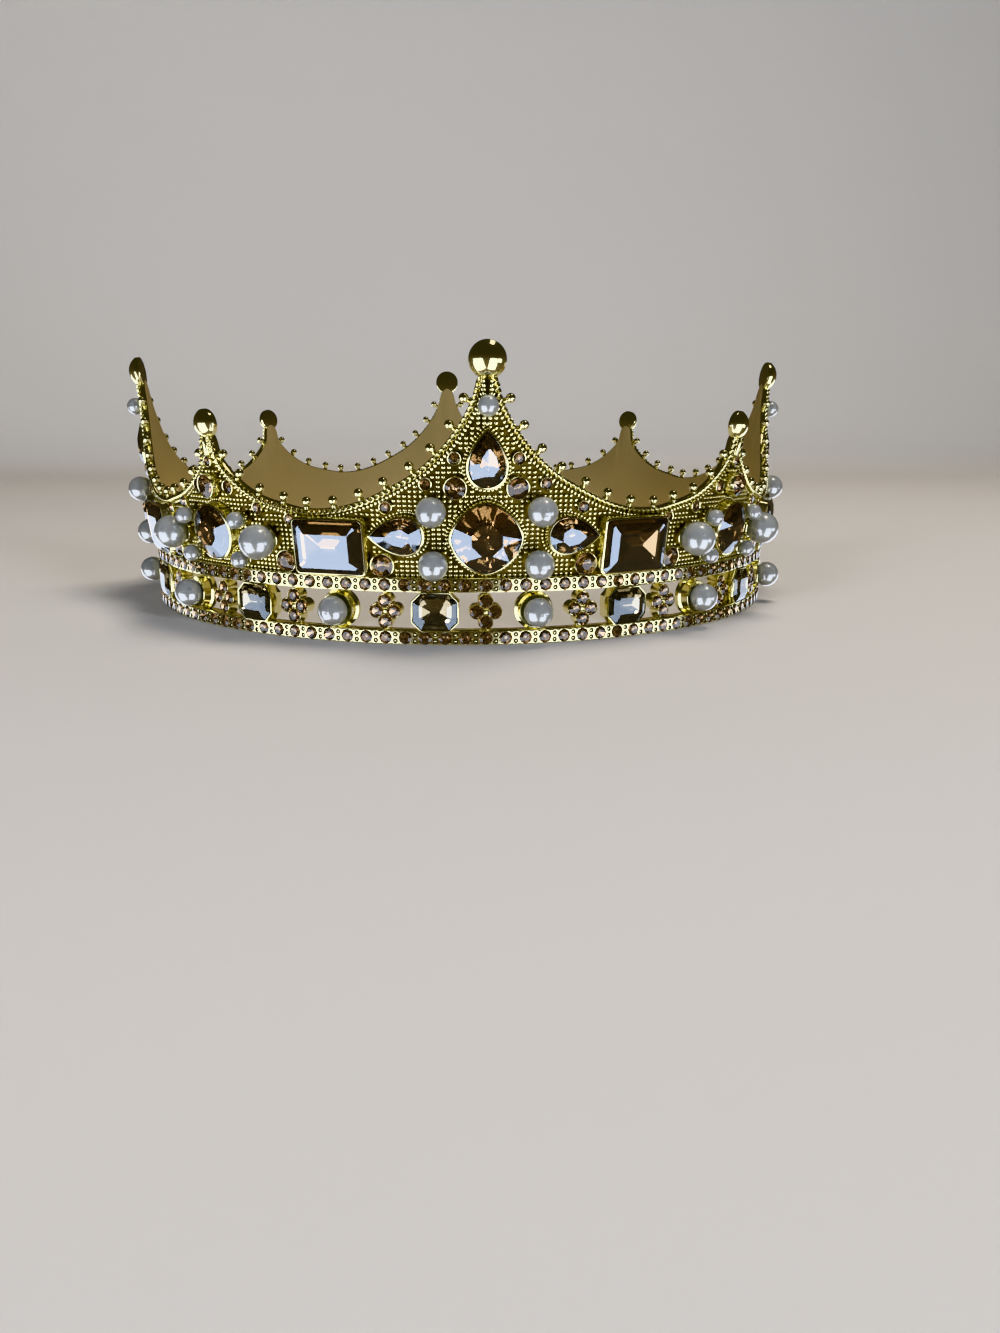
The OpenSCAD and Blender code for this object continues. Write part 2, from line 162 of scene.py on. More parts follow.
# The gallery's columns: a quatrefoil in every other one, and pearls and octagons by turns between
GALLERY_COLUMNS = 48
QUATREFOIL_COLUMNS = np.arange(0, GALLERY_COLUMNS, 2)
PEARL_COLUMNS = np.arange(1, GALLERY_COLUMNS, 4)
OCTAGON_COLUMNS = np.arange(3, GALLERY_COLUMNS, 4)
# Widths and heights of the large settings over their bezels
CUSHION = (14.8, 14.8)
PEAK_PEAR = (8.2, 11.8)
SIDE_PEAR = (8.1, 11.4)
RECTANGLE = (15.8, 11.7)
OVAL = (12.6, 12.1)
OCTAGON = (9.6, 8.0)
# Degrees that stones sit askew in their bezels, about their own upright
STONE_SLANT = {"peak_pear": 4.0}
# Middles of the quatrefoil's four stones. [along, up]
LOBES = np.array([[1.8, 0], [-1.8, 0], [0, 2.1], [0, -2.1]])
# Beads up one side of a tall neck. [mm from its middle, height, turn in degrees]
EAR_BEADS = np.array([[0.62, 49.2, -25], [0.70, 50.0, -25], [0.78, 50.8, -25], [0.86, 51.6, -25]])
# Points round the rope's section
ROPE_SIDES = 14
# How deep the band's foot and its settings are let into the metal behind them
SUNK = 0.4
# Radius of a pearl cup's mouth, as a share of the pearl's diameter
CUP_MOUTH = 0.32
# Thickness of a large stone's girdle
GIRDLE = 0.3
# How far the gallery's pieces and its small stones' seats lie out of the straps' outer face
GALLERY_BACK = -2.9
LOBE_SEAT = -0.55

# Softboxes: place in metres, what each faces, width, height, watts, colour and whether the metal,
# pearls and stones mirror it. The windows stand below the floor, and show in mirrors alone.
LIGHTS = {
    "window_1": ((0.441, -0.764, -0.47), (0, 0, 0.0), 0.72, 1.05, 9.4, "#e6eeff", True),
    "window_2": ((-0.710, -0.524, -0.47), (0, 0, 0.0), 1.09, 1.05, 14.2, "#e6eeff", True),
    "window_3": ((0.899, -0.421, -0.116), (0, 0, 0.0), 0.46, 0.22, 1.3, "#e6eeff", True),
    "window_4": ((-0.64, 0.64, -0.42), (0, 0, 0.0), 0.81, 0.69, 4.2, "#e6eeff", True),
    "window_5": ((0.64, 0.64, -0.42), (0, 0, 0.0), 0.81, 0.69, 4.2, "#e6eeff", True),
    "front_left": ((-0.50, -0.70, 0.30), (0, 0, 0.03), 0.16, 0.26, 3.2, "#dfe9ff", False),
    "front_right": ((0.42, -0.75, 0.30), (0, 0, 0.03), 0.16, 0.26, 3.2, "#dfe9ff", False),
    "overhead": ((0.25, 0.15, 1.1), (0, 0, 0.03), 0.6, 0.45, 7.5, "#fff6ea", False),
    "skylight": ((0.36, -0.05, 1.05), (0, 0, 0.03), 0.36, 0.24, 1.2, "#fff6ea", True),
    "backdrop": ((0.0, 0.75, 0.8), (0, 1.8, 0.45), 1.4, 0.5, 7.0, "#eef1f8", False),
    "backdrop_front": ((0.0, -0.75, 0.8), (0, -1.8, 0.45), 1.4, 0.5, 7.0, "#eef1f8", False),
}
# Metres from the middle to the rim of the patch of floor that the metal mirrors
PATCH = 0.0785
# The room's tones from straight down, 0, past the horizon, 0.5, to straight up, 1
AIR = ((0.0, "#857a68"), (0.46, "#5d564b"), (0.53, "#4b453d"), (0.62, "#403c37"), (0.75, "#3a3834"))
# The camera: place in millimetres, yaw, pitch and roll in degrees, and the lens for a 36 mm frame
CAMERA_PLACE = (-17.27, -288.12, 45.6)
CAMERA_TURN = (5.472, -13.33, 0.21)
LENS_MM = 28.9
FRAME_MM = 36.0

STEPS = ("straps", "gallery", "band", "finials", "settings", "stones", "pearls", "studio")


def in_mm(context):
    """The driving sizes in millimetres and radians, and the heights that follow from them."""
    group = context.scene.crown_sizes
    not_lengths = {"flare", "strap_stones"}
    size = SimpleNamespace(**{
        name: getattr(group, name) if name in not_lengths else getattr(group, name) / MM
        for name in CrownSizes.__annotations__
    })
    size.gallery_z = size.rail_height + size.gallery_gap / 2
    size.upper_rail_z = size.rail_height + size.gallery_gap
    size.band_z = size.upper_rail_z + size.rail_height
    return size


# Shapes. A shape is its points and a list of face arrays, each with its own count of corners.


def shape_of_rings(rings, start="open", end="open"):
    """Rings of points, each joined to the next by four-sided faces. An end stays open, is closed
    by a flat face, or is closed by a fan about the ring's middle; "loop" joins last to first."""
    count, around = rings.shape[:2]
    points = rings.reshape(-1, 3)
    index = np.arange(count * around).reshape(count, around)
    rows = index if end != "loop" else np.vstack([index, index[:1]])
    here, there = rows[:-1], rows[1:]
    quads = np.stack(
        [here, np.roll(here, -1, 1), np.roll(there, -1, 1), there], axis=-1
    ).reshape(-1, 4)
    faces = [quads]
    for kind, ring, forward in ((start, index[0], False), (end, index[-1], True)):
        ring = ring if forward else ring[::-1]
        if kind == "flat":
            faces.append(ring[None, :])
        if kind == "fan":
            middle = len(points)
            points = np.vstack([points, points[ring].mean(0)])
            faces.append(
                np.stack([ring, np.roll(ring, -1), np.full(around, middle)], axis=-1)
            )
    return points, faces


def joined(shapes):
    """Several shapes as one."""
    points, faces, first = [], [], 0
    for some, parts in shapes:
        points.append(some)
        faces += [part + first for part in parts]
        first += len(some)
    return np.vstack(points), faces


def faces_of_copies(faces, count, points_each):
    """The faces of a shape's copies, whose points follow one another."""
    steps = (np.arange(count) * points_each)[:, None, None]
    return [(part[None] + steps).reshape(-1, part.shape[1]) for part in faces]


def repeated(shape, frames):
    """One shape at many places: each point is x along, y up and z out of each place's own frame."""
    origins, axes = frames
    points, faces = shape
    placed = origins[:, None, :] + np.einsum("pi,nij->npj", points, axes)
    return placed.reshape(-1, 3), faces_of_copies(faces, len(origins), len(points))


def moved(shape, x=0.0, y=0.0, z=0.0):
    """A shape moved along, up and out."""
    return shape[0] + [x, y, z], shape[1]


def stretched(shape, x, y):
    """A shape made longer or shorter along and up."""
    return shape[0] * [x, y, 1.0], shape[1]


def raised(line, height):
    """The points of a flat line, all at one height."""
    return np.column_stack([line, np.full(len(line), height)])


def circle(radius, count, turn=0.0):
    """Points round a circle."""
    t = 2 * np.pi * (np.arange(count) + turn) / count
    return np.stack([radius * np.cos(t), radius * np.sin(t)], axis=-1)


def superellipse(width, height, power, count):
    """x is the cosine and y the sine of the turn, each raised to 2/power: power 2 is an ellipse,
    less is nearer a diamond."""
    t = 2 * np.pi * np.arange(count) / count
    c, s = np.cos(t), np.sin(t)
    return np.stack([
        np.sign(c) * abs(c) ** (2 / power) * width / 2, np.sign(s) * abs(s) ** (2 / power) * height / 2,
    ], axis=-1)


def drop(width, height, count):
    """A drop with its point up: y is the cosine of the turn, x its sine times a power of the sine
    of half the turn, brought to the width at its widest."""
    power = 0.8
    t = 2 * np.pi * np.arange(count) / count
    x = -np.sin(t) * abs(np.sin(t / 2)) ** power
    widest = power / (2 + power)
    scale = np.sqrt(1 - widest**2) * ((1 + widest) / 2) ** (power / 2)
    return np.stack([x / scale * width / 2, np.cos(t) * height / 2], axis=-1)


def rounded_rectangle(width, height, radius, count):
    """A rectangle whose corners are quarter circles with count points each."""
    t = np.linspace(0, np.pi / 2, count)
    quarter = np.stack([np.cos(t), np.sin(t)], axis=-1) * radius
    sides = []
    for turn, (x, y) in enumerate(((1, 1), (-1, 1), (-1, -1), (1, -1))):
        c, s = np.cos(turn * np.pi / 2), np.sin(turn * np.pi / 2)
        corner = quarter @ np.array([[c, s], [-s, c]])
        sides.append(corner + [x * (width / 2 - radius), y * (height / 2 - radius)])
    return np.vstack(sides)


def cut_corners(width, height, corner):
    """A rectangle with its corners cut off."""
    w, h = width / 2, height / 2
    return np.array([
        [w, -h + corner], [w, h - corner], [w - corner, h], [-w + corner, h],
        [-w, h - corner], [-w, -h + corner], [-w + corner, -h], [w - corner, -h],
    ])


def run_along(line):
    """How far each point of a line lies along it."""
    return np.concatenate([[0], np.cumsum(np.linalg.norm(np.diff(line, axis=0), axis=1))])


def evenly(line, step):
    """Points at equal steps along a closed line, as near the step as fits."""
    closed = np.vstack([line, line[:1]])
    run = run_along(closed)
    count = round(run[-1] / step)
    at = run[-1] * np.arange(count) / count
    return np.stack([np.interp(at, run, closed[:, 0]), np.interp(at, run, closed[:, 1])], axis=-1)


def along_outline(line_at, profile, start="open", end="loop"):
    """A profile carried round an outline: each row of the profile is how far inside the outline a
    ring lies and how high, and line_at gives the outline at that distance inside."""
    rings = [raised(line_at(inset), height) for inset, height in profile]
    return shape_of_rings(np.array(rings), start, end)


def lathe(profile, count, start="open", end="open", turn=0.0):
    """A profile of radius and height turned about the z axis."""
    profile = np.asarray(profile, float)
    around = circle(1.0, count, turn)
    rings = np.concatenate([
        profile[:, None, :1] * around[None], np.repeat(profile[:, None, 1:], count, axis=1),
    ], axis=-1)
    return shape_of_rings(rings, start, end)


def dome(radius, rise, foot=-0.1, count=8, rows=2):
    """A cap: its rings' radii are the cosine and their heights the sine of a rising angle."""
    t = np.linspace(0, np.pi / 2, rows + 1)[:-1]
    profile = np.column_stack([radius * np.cos(t), rise * np.sin(t)])
    profile = np.vstack([[radius, foot], profile])
    points, faces = lathe(profile, count, "flat", "fan")
    points[-1, 2] = rise
    return points, faces


# Places. A place is an origin and the three directions along, up and out.


def around_axis(angle, radius, height):
    """Points at angles in radians from the front, at a distance from the axis and at a height."""
    angle, radius, height = np.broadcast_arrays(angle, radius, height)
    return np.stack([radius * np.sin(angle), -radius * np.cos(angle), height], axis=-1)


def places(angle, radius, height, tilt=0.0, turn=0.0):
    """Frames round the crown at angles in degrees, leaning out by tilt, turned about their own
    outward direction by turn degrees."""
    a, radius, height, turn = np.broadcast_arrays(np.radians(angle), radius, height, np.radians(turn))
    zero, one = np.zeros_like(a), np.ones_like(a)
    side = np.stack([np.cos(a), np.sin(a), zero], axis=-1)
    away = around_axis(a, one, zero)
    top = np.stack([zero, zero, one], axis=-1)
    up = np.sin(tilt) * away + np.cos(tilt) * top
    out = np.cos(tilt) * away - np.sin(tilt) * top
    c, s = np.cos(turn)[..., None], np.sin(turn)[..., None]
    axes = np.stack([c * side + s * up, c * up - s * side, out], axis=-2)
    return radius[..., None] * away + height[..., None] * top, axes


def on_band(size, angle, height, stand=0.0, turn=0.0):
    """Frames on the band's outer face. What stands out by stand has its middle at the height."""
    z = np.asarray(height, float) + np.asarray(stand) * np.sin(size.flare)
    return places(angle, band_r(size, z), z, size.flare, turn)


def band_r(size, z):
    """Outer radius of the band at a height."""
    return size.band_radius + (z - size.band_z) * np.tan(size.flare)


def in_gallery(size, columns):
    """Frames in the middle of the gallery's height, on the straps' outer face."""
    step = 360 / GALLERY_COLUMNS
    return places(np.asarray(columns) * step, size.rail_radius, size.gallery_z)


def both_sides(angle):
    """Angles on the right and left of each of the four tall peaks."""
    angle = np.atleast_1d(angle)
    return np.concatenate([[90 * k + angle, 90 * k - angle] for k in range(4)]).ravel()


def four(angle):
    """Angles from each of the four tall peaks."""
    return np.concatenate([90 * k + np.atleast_1d(angle) for k in range(4)])


def curve_through(rows, steps):
    """A smooth curve through rows of points, the first and last of which only steer it: between two
    rows it is a cubic whose slope at each is that from the row before it to the row after."""
    a, b, c, d = (part[:, None, :] for part in (rows[:-3], rows[1:-2], rows[2:-1], rows[3:]))
    u = (np.arange(steps) / steps)[None, :, None]
    cubic = 0.5 * (
        2 * b + (c - a) * u + (2 * a - 5 * b + 4 * c - d) * u**2 + (3 * b - a - 3 * c + d) * u**3
    )
    return np.vstack([cubic.reshape(-1, rows.shape[1]), rows[-2]])


def half_edge(steps):
    """The scalloped edge from a tall peak to a small one, as rows of angle and height."""
    before = EDGE[1] * [-1, 1]
    after = [90 - EDGE[-2][0], EDGE[-2][1]]
    return curve_through(np.vstack([before, EDGE, after]), steps)


def whole_edge(steps):
    """The edge all the way round: the half bay and its mirror image, four times."""
    half = half_edge(steps)
    back = np.column_stack([90 - half[::-1, 0], half[::-1, 1]])
    bay = np.vstack([half[:-1], back[:-1]])
    return np.vstack([bay + [90 * k, 0] for k in range(4)])


# Meshes


def new_piece(name, parts, smooth_below=40.0):
    """A mesh object from parts, each a shape and its material. Points that fall together to four
    decimals are merged. Faces are smooth where they meet at less than smooth_below degrees."""
    points, faces = joined([shape for shape, _ in parts])
    _, first, merged = np.unique(np.round(points, 4), axis=0, return_index=True, return_inverse=True)
    points = points[first]
    faces = [merged.ravel()[rows] for rows in faces]
    of_part = [
        np.full(sum(len(rows) for rows in shape[1]), number) for number, (shape, _) in enumerate(parts)
    ]
    corners = np.concatenate([rows.ravel() for rows in faces])
    sizes = np.concatenate([np.full(len(rows), rows.shape[1]) for rows in faces])
    mesh = bpy.data.meshes.new(name)
    mesh.vertices.add(len(points))
    mesh.vertices.foreach_set("co", (points * MM).astype(np.float32).ravel())
    mesh.loops.add(len(corners))
    mesh.loops.foreach_set("vertex_index", corners.astype(np.int32))
    mesh.polygons.add(len(sizes))
    mesh.polygons.foreach_set("loop_start", (np.cumsum(sizes) - sizes).astype(np.int32))
    mesh.polygons.foreach_set("material_index", np.concatenate(of_part).astype(np.int32))
    mesh.polygons.foreach_set("use_smooth", np.full(len(sizes), smooth_below > 0))
    mesh.update(calc_edges=True)
    mesh.validate()
    if smooth_below > 0:
        mesh.set_sharp_from_angle(angle=np.radians(smooth_below))
    for _, material in parts:
        mesh.materials.append(material)
    piece = bpy.data.objects.new(name, mesh)
    bpy.context.scene.collection.objects.link(piece)
    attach(piece, "root")
    return piece


def metal_piece(name, *parts):
    """A piece of the crown's metal, which stands for its share of the frame. Each part is a shape,
    polished unless it is given with another finish."""
    parts = [part if len(part) == 3 else (*part, "polished") for part in parts]
    piece = new_piece(name, [((points, faces), FINISHES[finish]()) for points, faces, finish in parts])
    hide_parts("crown_frame")
    return piece


# Materials


def add(tree, kind, settings=None, **inputs):
    """One node with its settings. An input is named as its socket, or by its number after an
    underscore, and is a value, or another node's output to link."""
    made = tree.nodes.new(kind)
    for name, value in (settings or {}).items():
        setattr(made, name, value)
    for name, value in inputs.items():
        socket = made.inputs[int(name[1:])] if name[1:].isdigit() else made.inputs[name.replace("_", " ")]
        if isinstance(value, bpy.types.NodeSocket):
            tree.links.new(value, socket)
        else:
            socket.default_value = value
    return made


def new_material(name, build):
    """A material made once. build gets its node tree and returns the shader's output."""
    if name in bpy.data.materials:
        return bpy.data.materials[name]
    material = bpy.data.materials.new(name)
    material.use_nodes = True
    material.node_tree.nodes.clear()
    shader = build(material.node_tree)
    add(material.node_tree, "ShaderNodeOutputMaterial", Surface=shader)
    return material


def four_numbers(rgb):
    """A colour as a socket takes it, with full opacity."""
    return (*rgb, 1.0)


def gilt(name, first, second, roughness, grain_mm, depth_mm, metallic=1.0, drift_mm=6):
    """Gilt metal: a mirror of one colour that drifts a little, with a cast skin under the plating."""
    colours = bpy.context.scene.crown_colours

    def build(tree):
        place = add(tree, "ShaderNodeTexCoord").outputs["Object"]
        drift = add(tree, "ShaderNodeTexNoise", Vector=place, Scale=1 / (drift_mm * MM), Detail=2.0)
        tone = add(
            tree, "ShaderNodeMix", {"data_type": "RGBA"}, Factor=drift.outputs["Fac"],
            _6=four_numbers(getattr(colours, first)), _7=four_numbers(getattr(colours, second)),
        )
        skin = add(tree, "ShaderNodeTexNoise", Vector=place, Scale=1 / (grain_mm * MM), Detail=3.0)
        gloss = add(
            tree, "ShaderNodeMapRange", Value=skin.outputs["Fac"], To_Min=roughness * 0.7,
            To_Max=roughness * 1.5,
        )
        bump = add(
            tree, "ShaderNodeBump", Height=skin.outputs["Fac"], Strength=0.6, Distance=depth_mm * MM
        )
        return add(
            tree, "ShaderNodeBsdfPrincipled", Base_Color=tone.outputs[2], Metallic=metallic,
            Roughness=gloss.outputs["Result"], Normal=bump.outputs["Normal"],
        ).outputs["BSDF"]

    return new_material(name, build)


def polished_gilt():
    """Brass cast, polished and flash plated: sharp lemon reflections with the faint swell that
    polishing leaves."""
    return gilt(
        "Brass, polished and gilt", "gilt", "gilt", roughness=0.13, grain_mm=0.9, depth_mm=0.004
    )


def beaded_gilt():
    """Brass cast with a beaded face and gilt as cast: each bead glints, and the gaps go dark."""
    return gilt(
        "Brass, cast beaded and gilt", "gilt", "gilt_deep", roughness=0.15, grain_mm=0.35, depth_mm=0.008
    )


def painted_shade_gilt():
    """Brass as cast between the beads, in painted shade: its colour is darkened for the shade that falls
    between the beads, on the band's face behind them and in the straps' seats and pits.
    """
    return gilt(
        "Brass, cast, in painted shade", "recess", "recess", roughness=0.3, grain_mm=0.45, depth_mm=0.1
    )


def satin_gilt():
    """Brass tumbled and gilt: a soft tan sheen on the faces that nobody polishes."""
    return gilt(
        "Brass, tumbled and gilt", "inside", "inside", roughness=0.4, grain_mm=0.5, depth_mm=0.01,
        metallic=0.7,
    )


def glass(name, tint, ior, flash=(1.0, 1.0, 1.0)):
    """Cut glass: clear through its tint and mirror sharp on its facets. flash tints those reflections: a
    painted reflection colour, the blue-white of the window light they mirror.
    """
    colours = bpy.context.scene.crown_colours
    return new_material(name, lambda tree: add(
        tree, "ShaderNodeBsdfPrincipled", Base_Color=four_numbers(getattr(colours, tint)),
        # Specular_Tint paints the flash colour into the facets' reflections.
        Roughness=0.0, IOR=ior, Transmission_Weight=1.0, Specular_Tint=four_numbers(flash),
    ).outputs["BSDF"])


def foil(name, tint, roughness=0.012, mottle_mm=1.5):
    """Foil on the back facets of a glass stone: a tinted mirror, a little uneven, that throws the
    light back out, in a paint that shows its own colour faintly in the shade."""
    colours = bpy.context.scene.crown_colours

    def build(tree):
        place = add(tree, "ShaderNodeTexCoord").outputs["Object"]
        mottle = add(tree, "ShaderNodeTexNoise", Vector=place, Scale=1 / (mottle_mm * MM))
        gloss = add(
            tree, "ShaderNodeMapRange", Value=mottle.outputs["Fac"], To_Min=roughness * 0.6,
            To_Max=roughness * 1.6,
        )
        return add(
            tree, "ShaderNodeBsdfPrincipled", Base_Color=four_numbers(getattr(colours, tint)),
            Metallic=0.85, Roughness=gloss.outputs["Result"],
        ).outputs["BSDF"]

    return new_material(name, build)


def champagne():
    """Lead-free crystal, pressed, cut and tinted champagne, over mirror foil: blue-white flashes on the
    facets, the lamps' reflections with a painted blue-white tint, and tan ones from the foil. Its index is
    high, for the foiled glass's strong flash."""
    face = glass("Crystal glass, cut, champagne", "champagne", ior=2.6, flash=linear("#e3f1ff"))
    return face, foil("Mirror foil, champagne", "champagne_foil")


def pale():
    """Lead-free crystal with only a breath of champagne, over a greyer foil. Its facets' reflections carry
    a painted blue-white tint.
    """
    face = glass("Crystal glass, cut, pale", "clear", ior=1.9, flash=linear("#e0f1ff"))
    return face, foil("Mirror foil, pale", "clear_foil")


def smoky():
    """Crystal pressed into small rhinestones and tinted smoky tan, over foil: dark with glints."""
    face = glass("Crystal glass, pressed, smoky", "smoke", ior=1.6)
    return face, foil("Mirror foil, smoky", "smoke_foil")


def pearl(cloud_mm=2.5):
    """ABS bead dipped in pearl lacquer: a grey-white body with a soft silver sheen under a clear
    skin that shows the lights sharply."""
    colours = bpy.context.scene.crown_colours

    def build(tree):
        place = add(tree, "ShaderNodeTexCoord").outputs["Object"]
        cloud = add(tree, "ShaderNodeTexNoise", Vector=place, Scale=1 / (cloud_mm * MM), Detail=2.0)
        gloss = add(
            tree, "ShaderNodeMapRange", Value=cloud.outputs["Fac"], To_Min=0.24, To_Max=0.34
        )
        return add(
            tree, "ShaderNodeBsdfPrincipled", Base_Color=four_numbers(colours.pearl), Metallic=0.35,
            Roughness=gloss.outputs["Result"], Coat_Weight=1.0, Coat_Roughness=0.1, Coat_IOR=2.0,
            IOR=1.55,
        ).outputs["BSDF"]

    return new_material("ABS bead, pearl lacquered", build)


def floor_card(tooth_mm=1.2, depth_mm=0.05):
    """Matt painted board, so pale and even that the crown's own shadow is what shows."""
    colours = bpy.context.scene.crown_colours

    def build(tree):
        place = add(tree, "ShaderNodeTexCoord").outputs["Object"]
        tooth = add(tree, "ShaderNodeTexNoise", Vector=place, Scale=1 / (tooth_mm * MM), Detail=2.0)
        bump = add(
            tree, "ShaderNodeBump", Height=tooth.outputs["Fac"], Strength=0.2, Distance=depth_mm * MM
        )
        return add(
            tree, "ShaderNodeBsdfPrincipled", Base_Color=four_numbers(colours.floor), Roughness=0.75,
            Normal=bump.outputs["Normal"],
        ).outputs["BSDF"]

    return new_material("Board, matt painted", build)


# Finishes by name. The dark one for the gaps between the beads and the straps' wells is painted shade.
FINISHES = {
    "polished": polished_gilt, "beaded": beaded_gilt, "satin": satin_gilt, "recess": painted_shade_gilt,
}


# Outlines of the large settings, each at a distance inside its bezel's outer edge


def less(sizes, inset):
    """A width and height without an inset on each side."""
    return sizes[0] - 2 * inset, sizes[1] - 2 * inset


def cushion_line(inset, count=64):
    """The cushion, between a circle and a diamond."""
    return superellipse(*less(CUSHION, inset), 1.65, count)


def pear(sizes, inset, count):
    """A pear, whose tip comes in faster than its sides."""
    tip = 2.4
    return drop(sizes[0] - 2 * inset, sizes[1] - tip * inset, count)


def pear_line(inset, count=64):
    """The upright pear."""
    return pear(PEAK_PEAR, inset, count)


def side_pear_line(inset, count=64):
    """The sideways pear, before it is turned."""
    return pear(SIDE_PEAR, inset, count)


def rectangle_line(inset):
    """The rectangle's bezel, whose round corners tighten inwards."""
    radius = max(1.2 - 0.7 * inset, 0.3)
    return rounded_rectangle(*less(RECTANGLE, inset), radius, 5)


def cut_rectangle_line(inset):
    """The rectangular stone itself, whose corners are cut straight."""
    corner = max(0.9 - 0.3 * inset, 0.05)
    return cut_corners(*less(RECTANGLE, inset), corner)


def oval_line(inset, count=64):
    """The oval, an ellipse."""
    return superellipse(*less(OVAL, inset), 2, count)


def octagon_line(inset):
    """The gallery's octagon, whose cut corners shrink inwards."""
    corner = 1.9 - 0.6 * inset
    return cut_corners(*less(OCTAGON, inset), corner)


# Large settings by node name: outline, (angle, height), whether on both sides and turn in degrees
LARGE_SETTINGS = {
    "centre_stone": (cushion_line, (0, 21.5), False, 0),
    "peak_pear": (pear_line, (0, 36.9), False, 0),
    "side_pear": (side_pear_line, (12.9, 21.9), True, -90),
    "rectangle_stone": (rectangle_line, (23.15, 19.4), True, 0),
    "oval_stone": (oval_line, (45, 20.9), False, 0),
}


def setting_rise(size, name):
    """Height over the band of one kind of large setting."""
    return size.oval_rise if name == "oval_stone" else size.bezel_rise


def large_places(size, name, slant=0.0):
    """Frames of one kind of large setting, in the order of its nodes. slant is in degrees about
    each one's own upright."""
    _, (angle, height), paired, turn = LARGE_SETTINGS[name]
    angles = both_sides(angle) if paired else four(angle)
    turns = np.tile([turn, -turn], 4) if paired else turn
    origins, axes = on_band(size, angles, height, setting_rise(size, name), turns)
    along, up, out = np.moveaxis(axes, 1, 0)
    c, s = np.cos(np.radians(slant)), np.sin(np.radians(slant))
    return origins, np.stack([c * along - s * out, up, c * out + s * along], axis=1)


def round_places(size, kind):
    """The diameter over the bezel and the frames of each round setting of a kind."""
    rows, rise, _, paired = ROUND_SETTINGS[kind]
    sides = both_sides if paired else four
    return [(d, on_band(size, sides(angle), height, rise)) for angle, height, d in rows]


# The straps


def strap_cells(size, middle_z):
    """The strap's outer face laid out flat and wrapped on the cylinder. Each stone has a square
    cell with a round seat, and between two stones stand two small cells, one over the other, each
    with a drilled pit. A cell runs from its hole to its border along straight lines."""
    lip = 0.12
    seat_side, pit_side = 8, 4
    pitch = 2 * np.pi * size.rail_radius / size.strap_stones
    half = size.rail_height / 2 - lip
    spacer = pitch - 2 * half

    def cell(hole, half_w, half_h, side, depth, bevel=0.04):
        """A cell's face and its hole, with so many points to a side."""
        corners = np.array([[half_w, -half_h], [half_w, half_h], [-half_w, half_h], [-half_w, -half_h]])
        t = (np.arange(side) / side)[:, None]
        border = np.vstack([a * (1 - t) + b * t for a, b in zip(corners, np.roll(corners, -1, axis=0))])
        ring = circle(1.0, 4 * side, -side / 2)
        rows = [
            (border, 0.0), (ring * (hole + bevel), 0.0), (ring * hole, -bevel), (ring * hole, -depth),
        ]
        rings = np.array([raised(line, z) for line, z in rows])
        return shape_of_rings(rings[:3]), shape_of_rings(rings[2:], "open", "fan")

    seat = cell(hole=1.27, half_w=half, half_h=half, side=seat_side, depth=0.75)
    pit = cell(hole=0.5, half_w=spacer / 2, half_h=half / 2, side=pit_side, depth=0.45)
    bead = moved(dome(radius=0.27, rise=0.28, foot=-0.02), z=-0.38)

    def beside(shape):
        """A shape in both small cells."""
        return [moved(shape, pitch / 2, y) for y in (-half / 2, half / 2)]

    turns = 2 * np.pi / size.strap_stones * np.arange(size.strap_stones)

    def wrapped(shape):
        """A cell's shape in every cell, bent round the strap."""
        points, faces = shape
        along, up, out = points.T
        angle = turns[:, None] + along / size.rail_radius
        placed = around_axis(angle, size.rail_radius + out, middle_z + up)
        return placed.reshape(-1, 3), faces_of_copies(faces, size.strap_stones, len(points))

    face = wrapped(joined([seat[0], *beside(pit[0]), *beside(bead)]))
    wells = wrapped(joined([seat[1], *beside(pit[1])]))
    across = np.concatenate([
        np.linspace(-half, half, seat_side + 1), np.linspace(half, half + spacer, pit_side + 1)[1:-1],
    ])
    columns = (turns[:, None] + across / size.rail_radius).ravel()
    # Half of the section behind the face. [out of the face, up from the strap's middle]
    back = -size.rail_depth
    upper = np.array([
        [0, half], [-0.04, half + 0.08], [-lip, half + lip], [back + 0.3, half + lip],
        [back + 0.09, half + 0.03], [back, half - 0.18],
    ])
    section = np.vstack([upper, upper[::-1] * [1, -1]])
    rings = around_axis(columns, size.rail_radius + section[:, :1], middle_z + section[:, 1:])
    # The seats' and pits' walls and floors take the dark finish of painted shade.
    return joined([face, shape_of_rings(rings)]), (*wells, "recess")


def round_cut(radius, back, girdle, crown, sides=8, table=0.58, culet=0.2, edge=0.12):
    """A small round stone: a foiled cone of facets below the girdle's edge, a ring of facets and a
    table above. Table and culet are shares of the radius. Returns the crown and the foiled back."""
    rim = [[radius, girdle - edge], [radius, girdle], [radius * table, girdle + crown]]
    front = lathe(rim, sides, "open", "flat")
    rear = lathe([[radius * culet, back], [radius, girdle - edge]], sides, "flat", "open")
    return front, rear


def stone_piece(name, sets, kind, node=None):
    """Stones in one piece, in place of a node if there is one. sets is a list of a cut's front and
    back and the frames of its stones, and kind gives the front's and the back's material."""
    parts = []
    for side, material in enumerate(kind()):
        parts.append((joined([repeated(cut[side], where) for cut, where in sets]), material))
    piece = new_piece(name, parts, 0)
    if node:
        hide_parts(node)


class CROWN_OT_straps(Operator):
    """Two straps with seats, pits and rhinestones"""

    bl_idname = "crown.straps"
    bl_label = "Straps"

    def execute(self, context):
        size = in_mm(context)
        cut = round_cut(radius=1.4, back=-0.6, girdle=0.03, crown=0.36)
        for name, foot in (("lower", 0.0), ("upper", size.upper_rail_z)):
            middle = foot + size.rail_height / 2
            metal_piece(f"{name}_strap", *strap_cells(size, middle))
            angles = 360 / size.strap_stones * np.arange(size.strap_stones)
            where = places(angles, size.rail_radius, middle)
            stone_piece(f"{name}_strap_stones", [(cut, where)], smoky)
        return {"FINISHED"}


# The gallery


